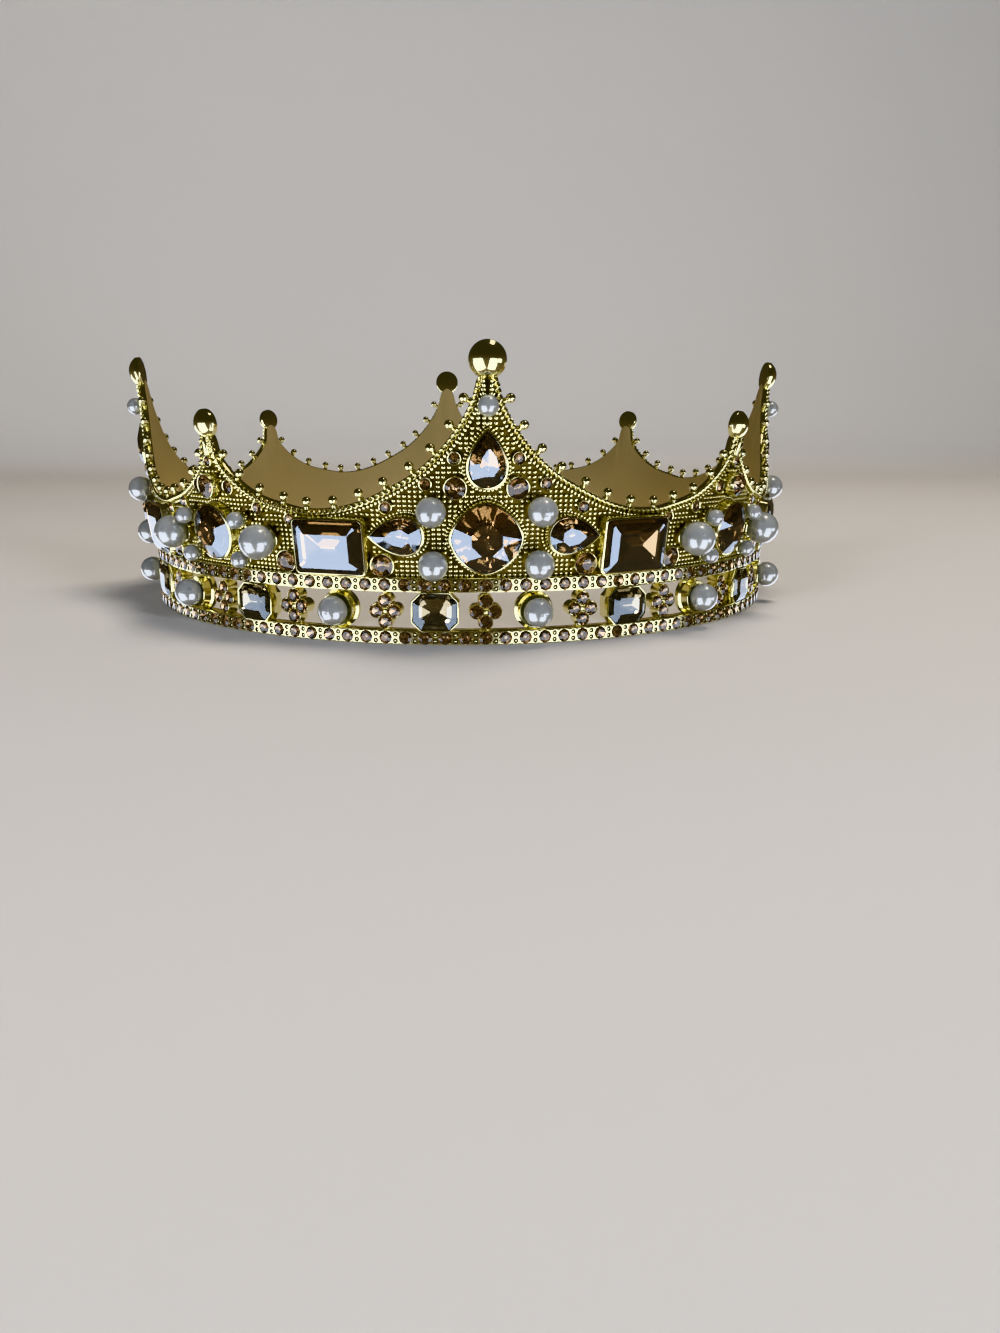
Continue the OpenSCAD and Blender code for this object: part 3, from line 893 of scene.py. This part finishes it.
def quatrefoil(size):
    """Four round lobes, each with a seat and a burnished rim, a dome in their middle and a bar
    behind them from strap to strap."""
    back = GALLERY_BACK
    # [radius, height]
    lobe = lathe([
        [1.35, back], [1.55, back + 0.2], [1.55, -0.3], [1.53, -0.12], [1.48, -0.06], [1.43, -0.1],
        [1.4, -0.2], [1.4, LOBE_SEAT],
    ], 24, "flat", "fan")
    middle = moved(dome(radius=0.75, rise=0.35, foot=back), z=-0.5)
    width, corner = 1.4, 0.2
    height = size.gallery_gap + 0.3
    # Its rows are inset and height
    bar = along_outline(
        lambda inset: rounded_rectangle(width - 2 * inset, height, corner, 3),
        [(0.15, back), (0, back + 0.15), (0, -1.7)], "flat", "flat",
    )
    return joined([*[moved(lobe, x, y) for x, y in LOBES], middle, bar])


def gallery_pearl_cup():
    """A round cup with a burnished rim, turned about z. Its rows are radius and height."""
    back = GALLERY_BACK
    return lathe([
        [0.6, back], [3.7, back], [4.0, back + 0.3], [4.0, -1.7], [3.5, -1.4], [3.4, 0.05],
        [3.43, 0.3], [3.37, 0.42], [3.28, 0.4], [3.22, 0.3], [3.15, 0.22], [1.3, -0.6], [1.3, -1.1],
    ], 40, "fan", "fan")


def octagon_cup():
    """A cup with a rounded rim, carried round the octagon. Its rows are inset and height."""
    back = GALLERY_BACK
    return along_outline(octagon_line, [
        (0.3, back), (0.05, back + 0.2), (0, back + 0.5), (0, 0.2), (0.05, 0.36), (0.15, 0.42),
        (0.25, 0.36), (0.3, 0.2), (0.3, -2.0),
    ], "flat", "flat")


class CROWN_OT_gallery(Operator):
    """Quatrefoils, pearl cups and octagon cups between the straps"""

    bl_idname = "crown.gallery"
    bl_label = "Gallery"

    def execute(self, context):
        size = in_mm(context)
        where = in_gallery(size, QUATREFOIL_COLUMNS)
        metal_piece("quatrefoils", repeated(quatrefoil(size), where))
        cut = round_cut(radius=1.38, back=LOBE_SEAT + 0.02, girdle=-0.04, crown=0.38)
        four_stones = [joined([moved(side, x, y) for x, y in LOBES]) for side in cut]
        stone_piece("quatrefoil_stones", [(four_stones, where)], smoky)
        for name, cup, columns in (
            ("gallery_pearl_cups", gallery_pearl_cup(), PEARL_COLUMNS),
            ("gallery_octagon_cups", octagon_cup(), OCTAGON_COLUMNS),
        ):
            metal_piece(name, repeated(cup, in_gallery(size, columns)))
        return {"FINISHED"}


# The band


def band_point(size, angle, height, out=0.0):
    """The point at an angle and height on the band's outer face, moved out of it."""
    radius = band_r(size, height) + out * np.cos(size.flare)
    return around_axis(np.radians(angle), radius, height - out * np.sin(size.flare))


def band_wall(size):
    """The band's wall: at each column of the edge a section from the foot up the outside, over
    the rounded top and down the inside."""
    angle, top = whole_edge(steps=6).T
    foot = size.band_z - SUNK
    middle = foot + (top - foot) * 0.5
    wall = size.band_wall
    soft, bevel = 0.25, 0.07
    # [height, out of the outer face]
    section = [
        (foot, 0), (middle, 0), (top - soft, 0), (top - bevel, -bevel), (top, -soft),
        (top, -wall + soft), (top - bevel, -wall + bevel), (top - soft, -wall), (middle, -wall),
        (foot, -wall),
    ]
    rings = np.array([band_point(size, angle, z, out) for z, out in section])
    front = shape_of_rings(rings[:3])
    brim = shape_of_rings(rings[2:8])
    rest = shape_of_rings(np.vstack([rings[7:], rings[:1]]))
    # The outer face behind the beads takes the dark finish of painted shade.
    return (*front, "recess"), (*brim, "beaded"), (*rest, "satin")


def inside(points, line):
    """Whether each point lies inside a closed line: a level ray from it crosses the line an odd
    number of times."""
    x, y = points[:, None, 0], points[:, None, 1]
    a, b = line[None], np.roll(line, -1, axis=0)[None]
    crosses = (a[..., 1] > y) != (b[..., 1] > y)
    with np.errstate(divide="ignore", invalid="ignore"):
        where = (b[..., 0] - a[..., 0]) * (y - a[..., 1]) / (b[..., 1] - a[..., 1]) + a[..., 0]
    return (crosses & (x < where)).sum(1) % 2 == 1


def flat_on_band(size, rows, angle, height):
    """Rows of angle and height laid out flat about a place on the band, as x along and y up."""
    along = np.radians(rows[:, 0] - angle) * band_r(size, rows[:, 1])
    return np.column_stack([along, (rows[:, 1] - height) / np.cos(size.flare)])


def bead_rows(size, column_mm=1.06, row_mm=0.93, first_mm=0.45):
    """Places of the beads of a half bay, as rows of angle and height: upright columns from the
    strap to the rope, without those that a setting covers."""
    count = round(np.radians(45) * size.band_radius / column_mm)
    angles = (np.arange(count) + 0.5) * 45 / count
    heights = np.arange(size.band_z + first_mm, EDGE[0, 1], row_mm)
    rows = np.stack(np.meshgrid(angles, heights, indexing="ij"), axis=-1).reshape(-1, 2)
    edge = half_edge(steps=8)
    keep = rows[:, 1] < np.interp(rows[:, 0], edge[:, 0], edge[:, 1])
    rows = rows[keep]
    points = band_point(size, rows[:, 0], rows[:, 1])
    line = band_point(size, edge[:, 0], edge[:, 1])
    mirrored = np.concatenate([line, line * [-1, 1, 1]])
    # Room for the rope and braid at the edge, for a beaded ring, and round a bezel and a cup
    at_edge, ring, at_bezel, at_cup = 2.1, 0.75, 0.3, 0.75
    keep = np.linalg.norm(points[:, None] - mirrored[None], axis=-1).min(1) > at_edge
    settings = []
    for line_at, (angle, height), _, turn in LARGE_SETTINGS.values():
        c, s = np.cos(np.radians(turn)), np.sin(np.radians(turn))
        settings.append((line_at(-ring) @ np.array([[c, s], [-s, c]]), angle, height))
    for table, *_ in ROUND_SETTINGS.values():
        settings += [(circle(d / 2 + at_bezel, 24), angle, height) for angle, height, d in table]
    for angle, height, d, stand in np.vstack([PEARL_CUPS, TOP_CUP]):
        outline = circle(CUP_MOUTH * d + at_cup, 24)
        settings.append((outline, angle, height + stand * np.sin(size.flare)))
    for outline, angle, height in settings:
        keep &= ~inside(flat_on_band(size, rows, angle, height), outline)
    return rows[keep]


def along_edge(size, inset, step_mm, out=0.0):
    """Points at equal steps along a line inside the edge all the way round, with the directions
    along it, away from the crown's foot and out of the band."""
    edge = whole_edge(steps=30)
    closed = np.vstack([edge, edge[:1] + [360, 0]])
    run = run_along(band_point(size, closed[:, 0], closed[:, 1]))
    count = round(run[-1] / step_mm)
    at = run[-1] * np.arange(count) / count
    angle = np.interp(at, run, closed[:, 0])
    on_edge = band_point(size, angle, np.interp(at, run, closed[:, 1]))
    outward = around_axis(np.radians(angle), np.cos(size.flare), -np.sin(size.flare))
    # The direction is taken between points this far before and after
    reach_mm = 0.45
    near = max(round(reach_mm / step_mm), 1)
    tangent = np.roll(on_edge, -near, axis=0) - np.roll(on_edge, near, axis=0)
    tangent /= np.linalg.norm(tangent, axis=1)[:, None]
    away = np.cross(outward, tangent)
    away /= np.linalg.norm(away, axis=1)[:, None]
    return on_edge - away * inset + outward * out, tangent, away, outward


def rope(size, twist_mm=2.4, strands=2, strand_d=0.64, waist=0.17):
    """The rope along the edge: two round strands side by side, winding about a line just inside the
    edge. Toward each direction the section reaches as far as the nearer strand's circle does, which
    is its diameter times a cosine, and at least as far as the waist."""
    middle, _, away, out = along_edge(size, inset=0.5, step_mm=twist_mm / ROPE_SIDES, out=0.26)
    count = len(middle)
    turns = round(count / ROPE_SIDES)
    t = 2 * np.pi * np.arange(ROPE_SIDES) / ROPE_SIDES
    wind = 2 * np.pi * turns * np.arange(count) / count
    turned = abs(np.cos((t[None] - wind[:, None]) * strands / 2))
    radius = np.maximum(strand_d * turned, waist)
    rings = (
        middle[:, None]
        + (radius * np.cos(t))[..., None] * away[:, None]
        + (radius * np.sin(t))[..., None] * out[:, None]
    )
    return shape_of_rings(rings, end="loop")


def braid(size, lean_degrees=35, bare_degrees=0.45):
    """Slanted beads in a row inside the rope: long domes, each turned to lean towards the peak. The
    very middle of a tall peak is left bare."""
    origins, tangent, away, out = along_edge(size, inset=1.5, step_mm=0.86)
    half_bay = np.arange(len(origins)) * 8 // len(origins)
    lean = np.radians(np.where(half_bay % 2 == 0, lean_degrees, -lean_degrees))[:, None]
    x = np.cos(lean) * tangent + np.sin(lean) * away
    y = np.cos(lean) * away - np.sin(lean) * tangent
    axes = np.stack([x, y, out], axis=1)
    angle = np.degrees(np.arctan2(origins[:, 0], -origins[:, 1]))
    keep = abs(angle % 90 - 45) < 45 - bare_degrees
    bead = stretched(dome(radius=0.5, rise=0.58), 0.74, 1.1)
    return repeated(bead, (origins[keep], axes[keep]))


def neck_ears(size):
    """Ears of wheat up the neck of each tall peak: two columns of long slanted beads."""
    rows = np.vstack([EAR_BEADS, EAR_BEADS * [-1, 1, -1]])
    angle = np.degrees(rows[:, 0] / band_r(size, rows[:, 1]))
    where = on_band(size, four(angle), np.tile(rows[:, 1], 4), 0.0, np.tile(rows[:, 2], 4))
    return repeated(stretched(dome(radius=0.5, rise=0.62), 0.8, 1.25), where)


def grain_places(size):
    """Frames at the grains' seats: y runs square to the edge, as it lies between the seats before
    and after."""
    rows = EDGE[2:-2]
    before, after = EDGE[1:-3], EDGE[3:-1]
    along = np.radians(after[:, 0] - before[:, 0]) * band_r(size, rows[:, 1])
    up = after[:, 1] - before[:, 1]
    turn = np.degrees(np.arctan2(up, along))
    angles = both_sides(rows[:, 0])
    turns = np.concatenate([turn, -turn] * 4)
    return on_band(size, angles, np.tile(rows[:, 1], 8), 0.0, turns)


def grain(size, sunk=0.35):
    """A ball on a stem with two collars, turned about y and let into the edge: radii along the stem,
    then the ball's circle, nearly from its foot to its top."""
    r = size.grain_d / 2
    t = np.linspace(-0.86, 0.97, 8) * np.pi / 2
    ball = np.column_stack([r * np.cos(t), size.grain_stand + r * np.sin(t)])
    # [radius, height]
    stem = [
        [0.5, -0.7], [0.5, -0.05], [0.68, 0.03], [0.68, 0.15], [0.5, 0.22], [0.68, 0.3],
        [0.68, 0.42], [0.48, 0.5],
    ]
    points, faces = lathe(np.vstack([stem, ball[1:]]), 12, "flat", "fan")
    return points[:, [0, 2, 1]] * [1, 1, -1] - [0, 0, sunk], faces


class CROWN_OT_band(Operator):
    """The scalloped band with its beaded face, rope and grains"""

    bl_idname = "crown.band"
    bl_label = "Band"

    def execute(self, context):
        size = in_mm(context)
        metal_piece("band_wall", *band_wall(size))
        rows = bead_rows(size)
        bead = stretched(dome(radius=0.49, rise=0.6, foot=-0.08), 1, 0.92)
        where = on_band(size, both_sides(rows[:, 0]), np.tile(rows[:, 1], 8))
        metal_piece("band_beading", (*repeated(bead, where), "beaded"))
        metal_piece("rope_edge", (*rope(size), "beaded"))
        metal_piece("edge_braid", (*braid(size), "beaded"))
        metal_piece("neck_ears", (*neck_ears(size), "beaded"))
        metal_piece("edge_grains", repeated(grain(size), grain_places(size)))
        return {"FINISHED"}


def button(d, rise, step=0.12):
    """A button turned about z: a flat back, a thick edge with soft corners, and a dome a step in
    from it and over it. The dome is the cap of a ball: its radius is the sine and its height the
    cosine of the ball's angle."""
    r = d / 2
    foot = r - step
    ball = (foot**2 + rise**2) / (2 * rise)
    t = np.arcsin(foot / ball) * np.linspace(1, 0, 12)[:-1]
    cap = np.column_stack([ball * np.sin(t), step + rise - ball * (1 - np.cos(t))])
    # [radius, height]
    edge = [[r - 0.35, -1.25], [r - 0.1, -1.17], [r, -0.95], [r, -0.1], [r - 0.04, 0.04]]
    points, faces = lathe(np.vstack([edge, cap]), 40, "flat", "fan")
    points[-1, 2] = step + rise
    return points, faces


def neck_drop(width, height, rise, sunk=0.3):
    """A raised drop: drops in a stack, smaller by the cosine and higher by the sine of an angle."""
    t = np.linspace(0, np.pi / 2, 6)[:-1]
    line = drop(width, height, 20)
    rings = [raised(line * np.cos(u), rise * np.sin(u)) for u in t]
    foot = rings[0] - [0, 0, sunk]
    points, faces = shape_of_rings(np.array([foot, *rings]), "flat", "fan")
    points[-1, 2] = rise
    return points, faces


class CROWN_OT_finials(Operator):
    """Buttons on the peaks"""

    bl_idname = "crown.finials"
    bl_label = "Finials"

    def execute(self, context):
        size = in_mm(context)
        # The two kinds of button: name, place, diameter and the dome's rise
        for name, (angle, height), d, rise in (
            ("tall_buttons", TALL_BUTTON, size.tall_button_d, 2.0),
            ("small_buttons", SMALL_BUTTON, size.small_button_d, 1.7),
        ):
            metal_piece(name, repeated(button(d, rise), on_band(size, four(angle), height)))
        angle, height = SMALL_BUTTON
        under_button = 4.2
        where = on_band(size, four(angle), height - under_button)
        metal_piece("neck_drops", repeated(neck_drop(width=1.5, height=5.6, rise=1.1), where))
        return {"FINISHED"}


# The settings


def bezel(size, line_at, rise):
    """A bezel: a wall with a burnished lip, carried round the outline. Its rows are inset and
    height."""
    wall = size.bezel_wall
    return along_outline(line_at, [
        (0, -SUNK), (0, rise - 0.24), (0.03, rise - 0.16), (wall - 0.09, rise - 0.01),
        (wall - 0.04, rise), (wall, rise - 0.08), (wall, rise - 0.3), (wall, -SUNK),
    ])


def round_bezel(d, rise):
    """A round bezel with a floor, turned about z. Its rows are radius and height."""
    r = d / 2
    return lathe([
        [r - 0.02, -SUNK], [r, rise - 0.2], [r - 0.04, rise - 0.05], [r - 0.13, rise],
        [r - 0.24, rise - 0.05], [r - 0.27, rise - 0.2], [r - 0.27, 0.1],
    ], 28, "flat", "fan")


def pearl_cup(d, stand, gap=0.08):
    """A flared cup a small gap under a pearl, turned about z. Its rows are radius and height."""
    mouth = CUP_MOUTH * d
    rise = stand - np.sqrt((d / 2 + gap) ** 2 - mouth**2)
    return lathe([
        [mouth + 0.15, -SUNK], [mouth + 0.2, rise * 0.35], [mouth + 0.5, rise - 0.12],
        [mouth + 0.42, rise], [mouth + 0.2, rise + 0.02], [mouth, rise - 0.1],
        [mouth * 0.5, 0.1],
    ], 28, "flat", "fan")


class CROWN_OT_settings(Operator):
    """Bezels, cups and the beaded rings round the large stones"""

    bl_idname = "crown.settings"
    bl_label = "Settings"

    def execute(self, context):
        size = in_mm(context)
        milgrain = dome(radius=0.37, rise=0.42)
        off_bezel, apart = 0.42, 0.78
        rings = []
        for name, (line_at, *_) in LARGE_SETTINGS.items():
            where = large_places(size, name)
            shape = bezel(size, line_at, setting_rise(size, name))
            metal_piece(f"{name}_bezels", repeated(shape, where))
            if name != "rectangle_stone":
                spots = evenly(line_at(-off_bezel), apart)
                rings.append(repeated(joined([moved(milgrain, x, y) for x, y in spots]), where))
        metal_piece("beaded_rings", (*joined(rings), "beaded"))
        shapes = []
        for kind, (_, rise, *_) in ROUND_SETTINGS.items():
            shapes += [repeated(round_bezel(d, rise), where) for d, where in round_places(size, kind)]
        metal_piece("round_bezels", joined(shapes))
        cups = []
        for table, sides in ((PEARL_CUPS, both_sides), (TOP_CUP, four)):
            for angle, height, d, stand in table:
                cups.append(repeated(pearl_cup(d, stand), on_band(size, sides(angle), height, stand)))
        metal_piece("pearl_cups", joined(cups))
        return {"FINISHED"}


# The stones


def brilliant(line, back, girdle, crown, table, centre=0.0, culet=0.06, star=0.5, ease=0.7):
    """A brilliant cut on any outline of sixteen points. Above the girdle: a table of eight sides,
    and by each side one large facet between two narrow ones. Below it: sixteen wedges round a tiny
    culet, broken once to a steeper slope. Every inner point is a girdle point drawn in to the centre
    by a share, and ease is how steeply the wedges rise at first, against an even slope."""
    heart = np.array([0.0, centre])

    def ring(points, share, height):
        """The points drawn in, at a height."""
        return raised(heart + (points - heart) * share, height)

    k = np.arange(8)
    after = (k + 1) % 8
    odd, even_after = 8 + 2 * k + 1, 8 + 2 * after
    front = np.vstack([ring(line[1::2], table, girdle + crown), ring(line, 1.0, girdle)]), [
        k[None, :],
        np.column_stack([k, odd, even_after]),
        np.column_stack([k, even_after, after]),
        np.column_stack([after, even_after, even_after + 1]),
    ]
    under = girdle - GIRDLE
    lower = ring(line, 1.0, under)
    low = ring(line, star, back + (under - back) * star * ease)
    rear = shape_of_rings(np.array([ring(line, culet, back), low, lower]), "flat", "open")
    band = shape_of_rings(np.array([lower, ring(line, 1.0, girdle)]))
    return joined([front, band]), rear


def step_cut(line_at, inset, girdle, steps, pavilion, depth, ridge, ridge_width=0.03):
    """A step cut on an outline with corners. Steps and pavilion are rows of how far inside the
    girdle's outline a ring lies and how far over or under the girdle. The pavilion closes at its
    depth in a narrow ridge, which reaches as far as ridge to either side of the middle."""

    def level(distance, height):
        """The outline a distance inside the girdle's, at a height."""
        return raised(line_at(inset + distance), height)

    under = girdle - GIRDLE
    rows = [level(0, under), level(0, girdle)] + [level(d, girdle + rise) for d, rise in steps]
    front = shape_of_rings(np.array(rows), "open", "flat")
    edge = line_at(inset)
    hip = np.column_stack([np.clip(edge[:, 0], -ridge, ridge), edge[:, 1] * ridge_width])
    hip = raised(hip, under - depth)
    rows = [hip] + [level(d, under - fall) for d, fall in pavilion[::-1]] + [level(0, under)]
    return front, shape_of_rings(np.array(rows), "flat", "open")


def band_rhinestone(d, rise, crown, rim=0.24):
    """A round stone for a bezel of a diameter: a brilliant if it is over 4 mm, else a plain cut."""
    r = d / 2 - rim
    if d > 4:
        return brilliant(circle(r, 16), back=0.15, girdle=rise, crown=crown, table=0.5)
    return round_cut(r, back=0.15, girdle=rise + 0.02, crown=crown)


class CROWN_OT_stones(Operator):
    """Cut stones of the band and the gallery"""

    bl_idname = "crown.stones"
    bl_label = "Stones"

    def execute(self, context):
        size = in_mm(context)
        seat = size.bezel_wall + 0.01
        rise, high = size.bezel_rise, size.oval_rise
        # How far up from the middle of a pear its facets meet
        low = -0.9
        cuts = {
            "centre_stone": brilliant(
                cushion_line(seat, 16), back=0.2, girdle=rise, crown=1.6, table=0.48),
            "peak_pear": brilliant(
                pear_line(seat, 16), back=1.3, girdle=rise, crown=1.2, table=0.52, centre=low),
            "side_pear": brilliant(
                side_pear_line(seat, 16), back=0.2, girdle=rise, crown=1.2, table=0.5, centre=low),
            "rectangle_stone": step_cut(
                cut_rectangle_line, seat, girdle=rise, steps=[(1.1, 0.6), (2.7, 1.05)],
                pavilion=[(1.2, 0.5)], depth=1.12, ridge=1.6),
            "oval_stone": brilliant(oval_line(seat, 16), back=0.2, girdle=high, crown=1.4, table=0.5),
        }
        for name, cut in cuts.items():
            origins, axes = large_places(size, name, STONE_SLANT.get(name, 0.0))
            for i in range(len(origins)):
                where = origins[i : i + 1], axes[i : i + 1]
                node = f"{name}_{i + 1}"
                stone_piece(f"{node}_cut", [(cut, where)], champagne, node)
        for name, kinds in (
            ("medium_rhinestones", ("medium", "peak")), ("small_rhinestones", ("small", "tiny")),
        ):
            sets = []
            for kind in kinds:
                _, bezel_rise, crown, _ = ROUND_SETTINGS[kind]
                for d, where in round_places(size, kind):
                    sets.append((band_rhinestone(d, bezel_rise, crown), where))
            stone_piece(f"{name}_cut", sets, smoky, name)
        octagon = step_cut(
            octagon_line, seat, girdle=0.4, steps=[(0.8, 0.48), (1.9, 0.8)],
            pavilion=[(1.0, 0.4)], depth=0.7, ridge=1.0)
        sets = [(octagon, in_gallery(size, OCTAGON_COLUMNS))]
        stone_piece("gallery_stones_cut", sets, pale, "gallery_stones")
        return {"FINISHED"}


class CROWN_OT_pearls(Operator):
    """Pearl finish on the pearls, which keep their turned shape"""

    bl_idname = "crown.pearls"
    bl_label = "Pearls"

    def execute(self, context):
        finish = pearl()
        for name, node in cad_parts.items():
            if "pearl" in name:
                for slot in node.material_slots:
                    slot.link = "OBJECT"
                    slot.material = finish
        return {"FINISHED"}


# The studio


def camera_matrix(position, yaw, pitch, roll):
    """A camera at a place in millimetres that looks along +Y, turned by yaw to +X, raised by
    pitch, then rolled, all in degrees."""
    yaw, pitch, roll = np.radians([yaw, pitch, roll])
    forward = np.array([
        np.sin(yaw) * np.cos(pitch), np.cos(yaw) * np.cos(pitch), np.sin(pitch),
    ])
    right = np.array([np.cos(yaw), -np.sin(yaw), 0.0])
    up = np.cross(right, forward)
    side = np.cos(roll) * right + np.sin(roll) * up
    over = np.cos(roll) * up - np.sin(roll) * right
    matrix = np.eye(4)
    matrix[:3, 0], matrix[:3, 1], matrix[:3, 2] = side, over, -forward
    matrix[:3, 3] = np.array(position) * MM
    return Matrix(matrix.tolist())


def look_from(position, target):
    """A light's matrix at a place in metres, facing a target."""
    position, target = np.array(position, float), np.array(target, float)
    back = position - target
    back /= np.linalg.norm(back)
    side = np.cross([0.0, 0.0, 1.0], back) if abs(back[2]) < 0.99 else np.array([1.0, 0.0, 0.0])
    side /= np.linalg.norm(side)
    matrix = np.eye(4)
    matrix[:3, 0], matrix[:3, 1], matrix[:3, 2] = side, np.cross(back, side), back
    matrix[:3, 3] = position
    return Matrix(matrix.tolist())


def new_stage(name, shape, material):
    """A mesh that isn't part of the crown."""
    points, faces = shape
    mesh = bpy.data.meshes.new(name)
    mesh.from_pydata((points * MM).tolist(), [], [row for part in faces for row in part.tolist()])
    mesh.shade_smooth()
    mesh.materials.append(material)
    stage = bpy.data.objects.new(name, mesh)
    bpy.context.scene.collection.objects.link(stage)
    return stage


def air(tree):
    """The room round the stage: dim and nearly grey overhead, warmer and lighter below."""
    place = add(tree, "ShaderNodeTexCoord").outputs["Generated"]
    height = add(tree, "ShaderNodeSeparateXYZ", Vector=place).outputs["Z"]
    rise = add(tree, "ShaderNodeMapRange", Value=height, From_Min=-1.0, From_Max=1.0)
    tone = add(tree, "ShaderNodeValToRGB", Fac=rise.outputs["Result"])
    ramp = tone.color_ramp.elements
    for spot, code in AIR[2:]:
        ramp.new(spot)
    for element, (spot, code) in zip(ramp, AIR):
        element.position = spot
        element.color = four_numbers(linear(code))
    tree.links.new(tone.outputs["Color"], tree.nodes["Background"].inputs["Color"])


class CROWN_OT_studio(Operator):
    """Floor, lights and camera"""

    bl_idname = "crown.studio"
    bl_label = "Studio"

    def execute(self, context):
        # The floor in metres: how far it is flat, the radius of its bend and the wall's top
        flat, bend, wall = 1.1, 0.7, 2.0
        sides = 96
        t = np.linspace(0, np.pi / 2, 12)
        profile = np.vstack([
            np.column_stack([np.linspace(PATCH, flat, 6)[:-1], np.zeros(5)]),
            np.column_stack([flat + bend * np.sin(t), bend - bend * np.cos(t)]), [[flat + bend, wall]],
        ])
        points, faces = lathe(profile / MM, sides)
        upward = [rows[:, ::-1] for rows in faces]
        floor = new_stage("studio_floor", (points, upward), floor_card())
        patch = [[PATCH / MM, 0.0], [PATCH / MM / 2, 0.0]]
        new_stage("studio_patch", lathe(patch, sides, "open", "fan"), floor_card())
        floor.visible_glossy = False
        floor.visible_transmission = False
        for name, (place, target, width, height, watts, code, mirrored) in LIGHTS.items():
            light = bpy.data.lights.new(name, "AREA")
            light.shape = "RECTANGLE"
            light.size, light.size_y = width, height
            light.energy = watts
            light.color = linear(code)
            lamp = bpy.data.objects.new(name, light)
            lamp.matrix_world = look_from(place, target)
            lamp.visible_camera = False
            lamp.visible_glossy = mirrored
            context.scene.collection.objects.link(lamp)
        world = bpy.data.worlds.new("studio_air")
        world.use_nodes = True
        air(world.node_tree)
        context.scene.world = world
        context.scene.view_settings.view_transform = "Khronos PBR Neutral"
        lens = bpy.data.cameras.new("camera")
        lens.sensor_fit = "VERTICAL"
        lens.sensor_height = FRAME_MM
        lens.lens = LENS_MM
        lens.clip_start = 0.02
        lens.clip_end = 20.0
        camera = bpy.data.objects.new("camera", lens)
        camera.matrix_world = camera_matrix(CAMERA_PLACE, *CAMERA_TURN)
        context.scene.collection.objects.link(camera)
        context.scene.camera = camera
        return {"FINISHED"}


class CROWN_PT_panel(Panel):
    """Sizes, colours and steps of the crown"""

    bl_label = "Costume Crown"
    bl_idname = "CROWN_PT_panel"
    bl_space_type = "VIEW_3D"
    bl_region_type = "UI"
    bl_category = "Crown"

    def draw(self, context):
        for step in STEPS:
            self.layout.operator(f"crown.{step}")
        for group in (context.scene.crown_sizes, context.scene.crown_colours):
            for name in group.__annotations__:
                self.layout.prop(group, name)


CLASSES = (
    CrownSizes, CrownColours, CROWN_OT_straps, CROWN_OT_gallery, CROWN_OT_band, CROWN_OT_finials,
    CROWN_OT_settings, CROWN_OT_stones, CROWN_OT_pearls, CROWN_OT_studio, CROWN_PT_panel,
)


def register():
    for part in CLASSES:
        bpy.utils.register_class(part)
    bpy.types.Scene.crown_sizes = PointerProperty(type=CrownSizes)
    bpy.types.Scene.crown_colours = PointerProperty(type=CrownColours)


def unregister():
    del bpy.types.Scene.crown_colours
    del bpy.types.Scene.crown_sizes
    for part in reversed(CLASSES):
        bpy.utils.unregister_class(part)


def main():
    register()
    for step in STEPS:
        getattr(bpy.ops.crown, step)()


if __name__ == "__main__":
    main()
